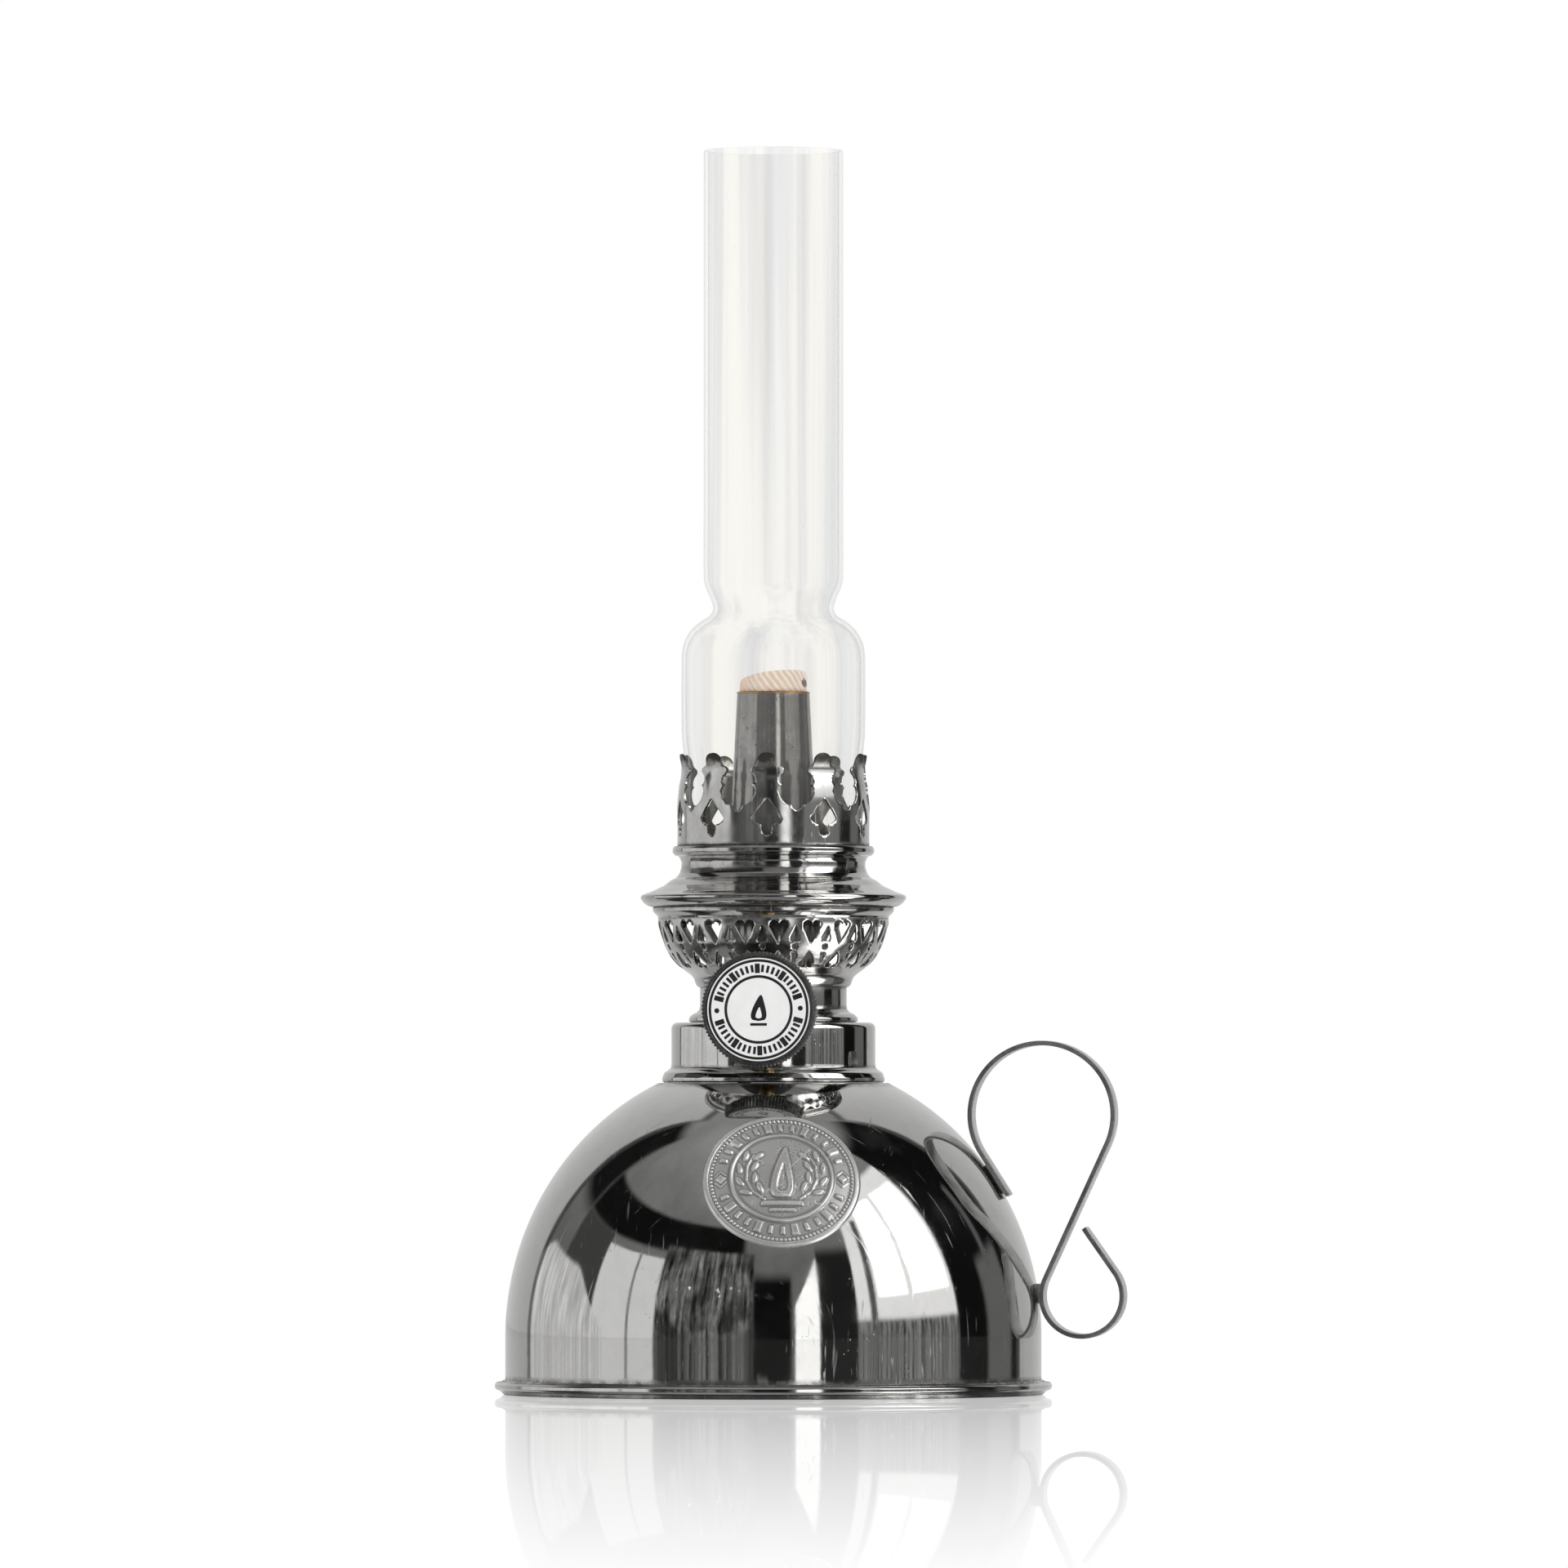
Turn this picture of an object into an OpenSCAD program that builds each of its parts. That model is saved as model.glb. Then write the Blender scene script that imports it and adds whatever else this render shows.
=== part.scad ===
// Small nickel-plated paraffin hand lamp: hemispherical font, screw collar, round-wick
// burner with pierced air basket and pronged gallery, glass chimney and strap handle.
// Millimetres. Origin on the lamp's axis at the underside of the base, +Z up,
// wick knob towards -Y, handle towards +X.

/* [Font] */
// Outer radius of the font's straight lower wall
font_r = 51.5; // [49:0.1:53]
// Height at which the straight wall turns into the dome
font_wall_h = 11; // [8:0.5:14]
// Rise of the dome above the straight wall, as the half axis of its ellipse
dome_rise = 54; // [52:0.5:56]
// Height of the flat top of the dome, under the collar
dome_top_z = 59.8; // [58.5:0.1:60]
// Sheet thickness of the font
font_t = 0.8; // [0.6:0.1:1.2]
// Largest radius of the rolled base flange
base_r = 53.5; // [53:0.1:54]

/* [Collar] */
// Outer radius of the collar's plain band
collar_r = 19.6; // [18.5:0.1:20.5]
// Height of the collar's top face
collar_top_z = 71.4; // [70.5:0.1:72]
// Radius of the collar's bore, which takes the burner's threaded skirt
collar_bore_r = 13.6; // [13.5:0.05:13.8]

/* [Emblem] */
// Radius of the round badge on the dome
emblem_r = 14.8; // [12:0.1:16]
// Height of the badge's centre
emblem_z = 42.2; // [38:0.1:43]
// Angle of the badge from the front, towards the handle
emblem_turn = 8.2; // [-10:0.1:15]
// How far the badge stands off the dome
emblem_t = 0.6; // [0.4:0.1:0.8]

/* [Handle] */
// Width of the handle's flat strap
strap_w = 8; // [6:0.5:10]
// Thickness of the handle's flat strap
strap_t = 0.9; // [0.8:0.05:1.0]
// Centreline radius of the upper finger loop
loop_r = 13.75; // [13.5:0.05:14]
// Centreline radius of the lower curl
curl_r = 7.75; // [7.5:0.05:8]

/* [Burner] */
// Radius of the burner's neck under the basket
neck_r = 14.1; // [13.9:0.1:14.2]
// Radius of the gallery's rolled flange
gallery_r = 25.5; // [25.2:0.1:26]
// Outer radius of the crown that holds the chimney's foot
crown_r = 18.45; // [18.35:0.05:18.6]
// Number of prongs round the crown
prongs = 10; // [8:1:12]
// Number of pierced repeats round the air basket
piercings = 21; // [18:1:24]

/* [Wick] */
// Height of the wick tube's mouth
mouth_z = 135; // [133:0.5:136]
// Outer radius of the wick tube at its mouth
mouth_r = 6.95; // [6.9:0.05:7.1]
// Outer radius of the round wick
wick_r = 6.3; // [6.1:0.05:6.35]
// Highest point of the slanted wick top
wick_top_z = 139.2; // [137:0.1:140]

/* [Knob] */
// Height of the wick spindle
spindle_z = 73.8; // [73.4:0.1:74]
// Radius of the wick spindle
spindle_r = 1.25; // [1.2:0.01:1.26]
// Outer radius of the milled knob
knob_r = 11.1; // [10.5:0.1:11.5]
// Number of milled ridges round the knob
knob_ridges = 60; // [40:2:72]

/* [Chimney] */
// Height of the chimney's top
chimney_top_z = 239.2; // [225:0.1:250]
// Outer radius of the chimney's straight upper tube
chimney_r = 13.4; // [13:0.1:13.8]
// Glass thickness
glass_t = 1.3; // [1.1:0.1:1.5]

/* [Hidden] */
$fn = 96;

nickel = [0.80, 0.80, 0.79];
brassy = [0.75, 0.62, 0.35];
tin = [0.62, 0.62, 0.60];
pewter = [0.50, 0.51, 0.51];
cream = [0.86, 0.79, 0.68];

base_h = 2.75;              // height of the base flange, where the font's wall starts
run_gap = 0.05;             // radial clearance of the spindle in its bearings
floor_z = 78.2;             // top of the plate that closes the burner's neck
seat_z = 105.3;             // the ledge that the chimney stands on
duct_z0 = 86;               // bottom of the side duct that feeds the draft tube
duct_z1 = 92;               // top of the side duct
draft_r = 4.6;              // outer radius of the draft tube
knob_y = -27.2;             // front of the knob
wheel_r = 4.7;              // tip radius of the star wheels

// ---------------------------------------------------------------- helpers

// points on the dome's outline, dt outside it, from the foot up to height z1
function dome_angle(z1, dt) = asin((z1 - font_wall_h) / (dome_rise + dt));
function dome_pts(z1, dt, n) =
    [for (i = [0:n]) let (a = dome_angle(z1, dt) * i / n)
        [(font_r + dt) * cos(a), font_wall_h + (dome_rise + dt) * sin(a)]];
// radius of the dome at height z
function dome_r_at(z) = font_r * sqrt(1 - pow((z - font_wall_h) / dome_rise, 2));
function reverse(v) = [for (i = [len(v) - 1:-1:0]) v[i]];
// centreline of an arc
function arc(cx, cy, r, a0, a1, n) =
    [for (i = [0:n]) let (a = a0 + (a1 - a0) * i / n) [cx + r * cos(a), cy + r * sin(a)]];
// the two sides of a band of thickness t along a line of points
function unit(v) = v / norm(v);
function side(p, i, d) =
    let (a = p[max(i - 1, 0)], b = p[min(i + 1, len(p) - 1)], u = unit(b - a))
        [p[i][0] - u[1] * d, p[i][1] + u[0] * d];
function band(p, t) = concat([for (i = [0:len(p) - 1]) side(p, i, t / 2)],
                             [for (i = [len(p) - 1:-1:0]) side(p, i, -t / 2)]);

// places children at an angle from the front (-Y), turning towards +X
module at_front(turn) { rotate([0, 0, turn]) children(); }
// a flat outline, x across and y up, pushed outwards through the front from y0 to y1
module through_front(y0, y1) {
    translate([0, -y0, 0]) rotate([90, 0, 0]) linear_extrude(y1 - y0) children();
}
// a round rod along Y from y0 back to y1
module rod_y(y0, y1, r) {
    translate([0, y1, spindle_z]) rotate([90, 0, 0]) cylinder(r = r, h = y1 - y0);
}

// ---------------------------------------------------------------- font

module base_pan() {
    color(nickel) rotate_extrude() polygon([
        [0, 1.3], [46.5, 1.3], [48, 0], [51.8, 0], [52.7, 0.8], [base_r - 0.2, 1.1],
        [base_r, 1.4], [base_r, 2.1], [base_r - 0.4, 2.4], [52.3, 2.5], [51.9, base_h],
        [50.4, base_h], [50.4, 2.1], [0, 2.1]]);
}

dome_outer = dome_pts(dome_top_z, 0, 24);
dome_inner = dome_pts(dome_top_z - font_t, -font_t, 22);

module dome_shell() {
    color(nickel) rotate_extrude() polygon(concat(
        [[font_r, base_h]], dome_outer,
        [[collar_bore_r, dome_top_z], [collar_bore_r, dome_top_z - font_t]],
        reverse(dome_inner), [[font_r - font_t, base_h]]));
}

// the space that the font fills, for fitting the pieces soldered to it
module dome_solid() {
    rotate_extrude($fn = 240) polygon(concat([[0, base_h], [font_r, base_h]], dome_outer, [[0, dome_top_z]]));
}

module font_collar() {
    color(nickel) rotate_extrude() polygon(concat(
        [[collar_bore_r, dome_top_z], [21.0, dome_top_z], [21.35, 60.2], [21.35, 60.5],
         [21.2, 61.1], [20.8, 61.7], [20.1, 62.3], [collar_r, 63.0]],
        arc(collar_r - 1.3, collar_top_z - 1.3, 1.3, 0, 90, 5),
        [[collar_bore_r + 0.6, collar_top_z], [collar_bore_r, collar_top_z - 0.6]]));
}

// the badge follows the dome; its axis is the dome's normal at its centre
emblem_r0 = dome_r_at(emblem_z);
emblem_tilt = atan2((emblem_z - font_wall_h) / pow(dome_rise, 2), emblem_r0 / pow(font_r, 2));
module emblem_plate() {
    color(nickel) difference() {
        intersection() {
            rotate_extrude($fn = 240) polygon(concat([[20, base_h + 6], [font_r + emblem_t, base_h + 6]],
                dome_pts(dome_top_z, emblem_t, 24), [[20, dome_top_z]]));
            at_front(emblem_turn) translate([0, -emblem_r0, emblem_z]) rotate([90 - emblem_tilt, 0, 0])
                translate([0, 0, -6]) cylinder(r = emblem_r, h = 12);
        }
        dome_solid();
    }
}

// handle: an upper finger loop soldered to the dome by its tail, running down into a curl
loop_c = [52.0, 53.7];
curl_c = [59.72, 19.0];
tail_a = -57.6;             // slope of the tail that lies along the dome
tip_a = 125;                // slope of the curl's free tip
span = norm(curl_c - loop_c);
link_a = atan2(curl_c[1] - loop_c[1], curl_c[0] - loop_c[0]) - asin((loop_r + curl_r) / span);
tail_start = loop_c + loop_r * [cos(tail_a + 270), sin(tail_a + 270)];
tail_end = tail_start + 9.6 * [cos(tail_a), sin(tail_a)];
tip_start = curl_c + curl_r * [cos(tip_a - 90), sin(tip_a - 90)];
tip_end = tip_start + 10.4 * [cos(tip_a), sin(tip_a)];
strap_line = concat(
    [tail_end],
    arc(loop_c[0], loop_c[1], loop_r, tail_a + 270, link_a + 90, 34),
    arc(curl_c[0], curl_c[1], curl_r, link_a + 270, tip_a + 270, 26),
    [tip_end]);

module strap_body(w) {
    translate([0, w / 2, 0]) rotate([90, 0, 0]) linear_extrude(w) polygon(band(strap_line, strap_t));
}

module handle_strap() {
    color(nickel) strap_body(strap_w);
}

// solder fills the wedge between a flat piece of strap and the round font
module solder_pad(p0, p1, w) {
    color(tin) difference() {
        translate([0, w / 2, 0]) rotate([90, 0, 0]) linear_extrude(w) polygon([p0, p1,
            p1 - [4, 2.6], p0 - [4, 2.6]]);
        dome_solid();
    }
}

// a point on the tail's inner face, s along it
function tail_at(s) = tail_start + s * [cos(tail_a), sin(tail_a)]
    + strap_t / 2 * [cos(tail_a - 90), sin(tail_a - 90)];

module handle_solder_upper() { solder_pad(tail_at(2.2), tail_at(8.8), strap_w - 3); }

module handle_solder_lower() {
    // a block from the font's wall to the outermost side of the curl
    color(tin) difference() {
        translate([49.5, -2.4, curl_c[1] - 2.3]) cube([2.8, 4.8, 4.6]);
        dome_solid();
        translate([curl_c[0], 4, curl_c[1]]) rotate([90, 0, 0]) linear_extrude(8)
            polygon(concat(arc(0, 0, curl_r + strap_t / 2, 140, 220, 16), [[0, 0]]));
    }
}

// ---------------------------------------------------------------- burner

module burner_base() {
    color(nickel) difference() {
        rotate_extrude() polygon(concat(
            // threaded skirt, its thread drawn as plain ridges
            [[12.2, 64.4], [12.8, 64.4]],
            [for (i = [0:4]) each [[12.85, 64.9 + 1.2 * i], [13.3, 65.2 + 1.2 * i],
                                   [13.3, 65.5 + 1.2 * i], [12.85, 65.8 + 1.2 * i]]],
            [[12.85, collar_top_z], [16.2, collar_top_z], [16.2, 72.4], [15.4, 73.0],
             [14.5, 73.6], [neck_r, 74.2], [neck_r, floor_z], [neck_r - 0.8, floor_z],
             [neck_r - 0.8, 72.4], [12.2, 72.0]]));
        rod_y(-18, -10, 2.2);
    }
}

basket_line = [[14.3, 78.2], [14.8, 78.6], [15.1, 79.3], [15.3, 79.9], [15.8, 80.5],
    [16.7, 81.2], [18.3, 82.4], [19.5, 83.7], [20.25, 84.9], [20.9, 86.2], [21.3, 87.4],
    [21.8, 89.0], [22.1, 90.2], [22.15, 91.5]];
heart = [[0, -2.0], [1.0, -0.7], [1.75, 0.5], [1.8, 1.3], [1.3, 1.95], [0.6, 1.9], [0, 1.2],
    [-0.6, 1.9], [-1.3, 1.95], [-1.8, 1.3], [-1.75, 0.5], [-1.0, -0.7]];
drop = [[0, 1.4], [0.5, 0.2], [0.95, -0.5], [0.6, -1.3], [-0.6, -1.3], [-0.95, -0.5], [-0.5, 0.2]];
basket_turn = 8.8;

module air_basket() {
    color(nickel) difference() {
        rotate_extrude() polygon(concat(basket_line,
            reverse([for (p = basket_line) [p[0] - 0.7, p[1]]])));
        for (i = [0:piercings - 1]) {
            at_front(basket_turn + i * 360 / piercings) {
                through_front(19, 24) translate([0, 88.8]) polygon(heart);
                // the lower hearts stand upside down on the basket's slope
                translate([0, -18.6, 83.2]) rotate([-45, 0, 0]) translate([0, 2.5, 0])
                    rotate([90, 0, 0]) linear_extrude(5) scale(0.7) rotate(180) polygon(heart);
            }
            at_front(basket_turn + (i + 0.5) * 360 / piercings)
                through_front(19, 24) translate([0, 88.2]) polygon(drop);
        }
    }
}

module basket_rim() {
    color(nickel) rotate_extrude() polygon([[21.45, 91.5], [22.15, 91.5], [22.6, 92.2],
        [23.2, 92.8], [23.2, 93.6], [21.6, 93.6]]);
}

module gallery_cover() {
    color(nickel) rotate_extrude() polygon([
        [21.6, 93.6], [23.3, 93.6], [24.6, 94.2], [25.1, 94.7], [gallery_r, 95.3],
        [25.35, 95.9], [23.6, 96.5], [22.3, 97.2], [20.8, 97.8], [20.25, 98.4], [18.9, 99.1],
        [18.3, 99.7], [18.0, 100.3], [17.65, 100.9], [17.65, 102.2], [18.0, 102.8],
        [18.2, 103.5], [19.1, 103.7], [19.35, 104.2], [19.35, 104.9], [19.0, seat_z],
        [15.6, seat_z], [15.6, 104.6], [17.3, 104.6], [17.4, 103.6], [16.95, 102.6],
        [16.95, 100.6], [17.5, 99.4], [18.3, 98.5], [19.7, 97.6], [20.4, 97.0], [22.0, 96.4],
        [23.6, 95.7], [24.4, 95.4], [24.2, 95.0], [23.1, 94.4], [21.6, 94.3]]);
}

// opening between two prongs, and the spade-shaped window in the foot of each prong
prong_gap = [[0, 112.0], [0.7, 112.3], [1.05, 112.9], [2.1, 113.2], [3.0, 114.1], [3.6, 115.6],
    [3.1, 116.9], [3.5, 118.1], [2.5, 119.4], [3.7, 121.1], [4.2, 122.2], [4.8, 123.6]];
spade = [[0, 114.2], [1.1, 112.9], [2.2, 111.6], [2.8, 110.5], [2.6, 109.7], [1.9, 109.2],
    [1.0, 109.3], [0.9, 108.0], [0.6, 107.3], [0, 107.1]];
function both_sides(v) = concat(v, reverse([for (p = v) if (p[0] > 0) [-p[0], p[1]]]));
crown_turn = 2;

module gallery_crown() {
    color(nickel) difference() {
        rotate_extrude() polygon([
            [crown_r - 0.4, seat_z], [crown_r, seat_z], [crown_r, 114.8], [18.1, 117.4],
            [17.75, 119.8], [17.95, 122.9], [17.55, 122.9], [17.35, 119.8], [17.7, 117.4],
            [crown_r - 0.4, 114.8]]);
        for (i = [0:prongs - 1]) {
            at_front(crown_turn + i * 360 / prongs) through_front(14, 20)
                polygon(both_sides(spade));
            at_front(crown_turn + (i + 0.5) * 360 / prongs) through_front(14, 20)
                polygon(both_sides(prong_gap));
        }
    }
}

// the wick tube is one long cone, wider towards the neck
tube_wall = 0.35;
tube_slope = 0.0492;
function tube_r(z) = mouth_r + (mouth_z - z) * tube_slope;
tube_foot_z = 77.4;

module wick_tube() {
    color(pewter) difference() {
        rotate_extrude() polygon([
            [tube_r(tube_foot_z) - tube_wall, tube_foot_z], [tube_r(tube_foot_z), tube_foot_z],
            [mouth_r, mouth_z], [mouth_r - tube_wall, mouth_z]]);
        // air window on the handle side, where the side duct is soldered in
        translate([5, -2.6, duct_z0]) cube([8, 5.2, duct_z1 - duct_z0]);
    }
}

module draft_tube() {
    color(pewter) difference() {
        translate([0, 0, duct_z0 - 0.6]) cylinder(r = draft_r, h = mouth_z - duct_z0 - 0.2);
        translate([0, 0, duct_z0]) cylinder(r = draft_r - 0.4, h = mouth_z);
        translate([1, -2.6, duct_z0]) cube([8, 5.2, duct_z1 - duct_z0]);
    }
}

module draft_duct() {
    color(pewter) difference() {
        intersection() {
            translate([2, -3.0, duct_z0 - 0.4]) cube([8, 6, duct_z1 - duct_z0 + 0.8]);
            rotate_extrude() polygon([[draft_r, duct_z0 - 2], [tube_r(duct_z0 - 2) - tube_wall, duct_z0 - 2],
                [tube_r(duct_z1 + 2) - tube_wall, duct_z1 + 2], [draft_r, duct_z1 + 2]]);
        }
        translate([0, -2.6, duct_z0]) cube([12, 5.2, duct_z1 - duct_z0]);
    }
}

module tube_floor() {
    color(tin) rotate_extrude() polygon([[tube_r(tube_foot_z), tube_foot_z],
        [neck_r - 0.8, tube_foot_z], [neck_r - 0.8, floor_z], [tube_r(floor_z), floor_z]]);
}

module raiser_bracket() {
    color(brassy) difference() {
        union() for (y = [-7.5, 6.9])
            translate([-8.5, y, spindle_z - 3.4]) cube([17, 0.6, tube_foot_z - spindle_z + 3.4]);
        rod_y(-12, 12, spindle_r + run_gap);
    }
}

module spindle_ferrule() {
    color(brassy) difference() {
        rod_y(-18.5, -12.9, 2.2);
        rod_y(-20, -12, spindle_r + run_gap);
    }
}

// ---------------------------------------------------------------- wick raiser

module knob_spindle() {
    color(brassy) rod_y(-26.4, 8.4, spindle_r);
}

module star_wheel(y) {
    teeth = 12;
    color(brassy) translate([0, y + 0.5, spindle_z]) rotate([90, 0, 0]) difference() {
        linear_extrude(1.0) polygon([for (i = [0:4 * teeth - 1])
            let (a = 360 * i / (4 * teeth), r = (i % 4 == 0) ? wheel_r : (i % 4 == 2) ? 3.4 : 4.0)
                [r * cos(a + 7.5), r * sin(a + 7.5)]]);
        translate([0, 0, -1]) cylinder(r = spindle_r, h = 3);
    }
}

module star_wheel_front() { star_wheel(-3.6); }
module star_wheel_rear() { star_wheel(3.6); }

module spindle_clip() {
    // a split ring that keeps the spindle in its bracket
    color(tin) difference() {
        rod_y(7.6, 8.2, 2.4);
        rod_y(7, 9, spindle_r);
        translate([0, 7, spindle_z - 0.5]) cube([4, 2, 1]);
    }
}

module knob_hub() {
    color(brassy) difference() {
        rod_y(-23.4, -20.2, 2.6);
        rod_y(-24, -19, spindle_r);
    }
}

function ridge_pts(r, h, n) = [for (i = [0:2 * n - 1]) let (a = 180 * i / n)
    (r - (i % 2) * h) * [cos(a), sin(a)]];

module knob_cup() {
    color([0.16, 0.16, 0.16]) translate([0, 0, spindle_z]) rotate([90, 0, 0]) difference() {
        translate([0, 0, 23.4]) linear_extrude(-knob_y - 23.4) polygon(ridge_pts(knob_r, 0.35, knob_ridges));
        translate([0, 0, 24.2]) cylinder(r = 10.05, h = 5);
        cylinder(r = spindle_r, h = 30);
    }
}

module knob_face() {
    color([0.93, 0.93, 0.92]) difference() {
        rod_y(-26.9, -26.4, 10.05);
    }
}

// ---------------------------------------------------------------- wick

module wick() {
    ring_z = 84;
    color(cream) union() {
        difference() {
            translate([0, 0, ring_z]) cylinder(r = wick_r, h = wick_top_z - ring_z);
            translate([0, 0, ring_z - 1]) cylinder(r = 5.0, h = wick_top_z);
            // slanted top, low on the side away from the handle
            translate([0, 0, 138.45]) rotate([0, -6.8, 0]) translate([-20, -20, 0]) cube([40, 40, 20]);
            // the slit where the wick's edges part round the side duct
            translate([2, -3.4, ring_z - 1]) cube([8, 6.8, 15]);
        }
        // flat tail that hangs into the font
        translate([-wick_r, -5.8, 8]) cube([wick_r - 4.9, 11.6, 78]);
    }
}

// ---------------------------------------------------------------- chimney

chimney_line = [[17.15, 105.3], [17.15, 121], [17.3, 123], [17.6, 127], [17.6, 142.2],
    [17.3, 144], [16.7, 145.5], [15.6, 147.1], [13.7, 148.7], [12.4, 149.5], [11.8, 150.3],
    [11.6, 151.0], [11.7, 151.7], [12.3, 153.4], [13.0, 155], [13.3, 155.9]];

module chimney_glass() {
    color([0.85, 0.90, 0.92], 0.35) rotate_extrude() polygon(concat(
        chimney_line, [[chimney_r, 156.6], [chimney_r, chimney_top_z],
        [chimney_r - glass_t, chimney_top_z], [chimney_r - glass_t, 156.6]],
        reverse([for (p = chimney_line) [p[0] - glass_t, p[1]]])));
}

base_pan();
dome_shell();
font_collar();
emblem_plate();
handle_strap();
handle_solder_upper();
handle_solder_lower();
burner_base();
air_basket();
basket_rim();
gallery_cover();
gallery_crown();
wick_tube();
draft_tube();
draft_duct();
tube_floor();
raiser_bracket();
spindle_ferrule();
knob_spindle();
star_wheel_front();
star_wheel_rear();
spindle_clip();
knob_hub();
knob_cup();
knob_face();
wick();
chimney_glass();
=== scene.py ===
"""Looks of the small nickel-plated paraffin hand lamp: polished font, pierced burner, glass chimney.
Lengths in the helpers are millimetres; the row frame is metres."""

import math

import bpy
import numpy as np
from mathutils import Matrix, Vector
from mathutils.geometry import delaunay_2d_cdt


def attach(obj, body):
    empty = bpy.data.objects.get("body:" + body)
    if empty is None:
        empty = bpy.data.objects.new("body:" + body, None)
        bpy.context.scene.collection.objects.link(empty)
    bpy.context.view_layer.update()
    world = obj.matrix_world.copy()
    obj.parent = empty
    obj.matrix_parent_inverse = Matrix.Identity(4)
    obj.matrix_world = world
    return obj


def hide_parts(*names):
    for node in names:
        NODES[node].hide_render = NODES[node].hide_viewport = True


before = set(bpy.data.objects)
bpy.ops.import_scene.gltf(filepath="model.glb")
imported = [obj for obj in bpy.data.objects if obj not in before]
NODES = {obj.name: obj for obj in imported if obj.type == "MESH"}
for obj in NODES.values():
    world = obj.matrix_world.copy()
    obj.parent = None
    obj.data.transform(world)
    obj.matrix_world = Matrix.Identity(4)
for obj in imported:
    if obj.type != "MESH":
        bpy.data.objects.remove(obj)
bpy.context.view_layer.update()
MM = 0.001
TAU = 2 * math.pi
CAM_TURN = 6.0  # the camera stands this many degrees round from the front, towards the handle


# ------------------------------------------------------------------ node helpers


class Tree:
    """Short calls for building a node tree."""

    def __init__(self, node_tree):
        self.nt = node_tree
        self.nt.nodes.clear()

    def new(self, kind, **settings):
        n = self.nt.nodes.new(kind)
        for k, v in settings.items():
            setattr(n, k, v)
        return n

    def put(self, socket, value):
        if isinstance(value, bpy.types.NodeSocket):
            self.nt.links.new(value, socket)
        elif value is not None:
            socket.default_value = value

    def math(self, op, a, b=None, c=None, clamp=False):
        n = self.new("ShaderNodeMath", operation=op, use_clamp=clamp)
        for s, v in zip(n.inputs, (a, b, c)):
            self.put(s, v)
        return n.outputs[0]

    def mul(self, a, b):
        return self.math("MULTIPLY", a, b)

    def add(self, a, b):
        return self.math("ADD", a, b)

    def step(self, value, lo, hi, out_lo=0.0, out_hi=1.0, smooth=True):
        n = self.new("ShaderNodeMapRange", interpolation_type="SMOOTHSTEP" if smooth else "LINEAR")
        for s, v in zip(n.inputs, (value, lo, hi, out_lo, out_hi)):
            self.put(s, v)
        return n.outputs[0]

    def between(self, value, lo, hi, soft):
        """1 inside lo..hi, 0 outside, with soft edges."""
        a = self.step(value, lo - soft, lo + soft)
        b = self.step(value, hi - soft, hi + soft, 1.0, 0.0)
        return self.mul(a, b)

    def mixf(self, a, b, fac):
        n = self.new("ShaderNodeMix", data_type="FLOAT")
        self.put(n.inputs[0], fac)
        self.put(n.inputs[2], a)
        self.put(n.inputs[3], b)
        return n.outputs[0]

    def mixc(self, a, b, fac, blend="MIX"):
        n = self.new("ShaderNodeMix", data_type="RGBA", blend_type=blend)
        self.put(n.inputs[0], fac)
        self.put(n.inputs[6], rgba(a))
        self.put(n.inputs[7], rgba(b))
        return n.outputs[2]

    def coords(self, scale=(1000.0, 1000.0, 1000.0), turn=(0.0, 0.0, 0.0)):
        """Object coordinates in millimetres, stretched and turned."""
        tc = self.new("ShaderNodeTexCoord")
        m = self.new("ShaderNodeMapping")
        m.inputs["Scale"].default_value = scale
        m.inputs["Rotation"].default_value = turn
        self.nt.links.new(tc.outputs["Object"], m.inputs["Vector"])
        return m.outputs[0]

    def noise(self, vector, scale, detail=3.0, rough=0.5, twist=0.0):
        n = self.new("ShaderNodeTexNoise")
        self.put(n.inputs["Vector"], vector)
        n.inputs["Scale"].default_value = scale
        n.inputs["Detail"].default_value = detail
        n.inputs["Roughness"].default_value = rough
        n.inputs["Distortion"].default_value = twist
        return n.outputs["Fac"]

    def cells(self, vector, scale, feature="F1"):
        n = self.new("ShaderNodeTexVoronoi", feature=feature)
        self.put(n.inputs["Vector"], vector)
        n.inputs["Scale"].default_value = scale
        return n.outputs["Distance"]

    def bump(self, height, distance_mm, normal=None, strength=1.0):
        n = self.new("ShaderNodeBump")
        n.inputs["Strength"].default_value = strength
        n.inputs["Distance"].default_value = distance_mm * MM
        self.put(n.inputs["Height"], height)
        self.put(n.inputs["Normal"], normal)
        return n.outputs[0]

    def split(self, vector):
        n = self.new("ShaderNodeSeparateXYZ")
        self.put(n.inputs[0], vector)
        return n.outputs


def rgba(c):
    if isinstance(c, bpy.types.NodeSocket) or len(c) == 4:
        return c
    return (*c, 1.0)


def material(name):
    m = bpy.data.materials.new(name)
    m.use_nodes = True
    t = Tree(m.node_tree)
    out = t.new("ShaderNodeOutputMaterial")
    p = t.new("ShaderNodeBsdfPrincipled")
    t.nt.links.new(p.outputs[0], out.inputs["Surface"])
    return m, t, p, out


def setup(p, **sockets):
    for k, v in sockets.items():
        p.inputs[k.replace("_", " ")].default_value = v


# ------------------------------------------------------------------ materials


def hairlines(t, seed, density):
    """Fine wipe marks left by polishing, in two directions. 1 on a mark."""
    marks = None
    for turn, stretch in (((0.3, 0.9 + seed, 0.2), (1800.0, 90.0, 150.0)), ((1.1, 0.2, 0.7 + seed), (120.0, 1500.0, 80.0))):
        n = t.noise(t.coords(stretch, turn), 1.0, 2.0, 0.6, 0.4)
        m = t.step(n, 0.70 - density, 0.80 - density)
        marks = m if marks is None else t.math("MAXIMUM", marks, m)
    return marks


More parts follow.
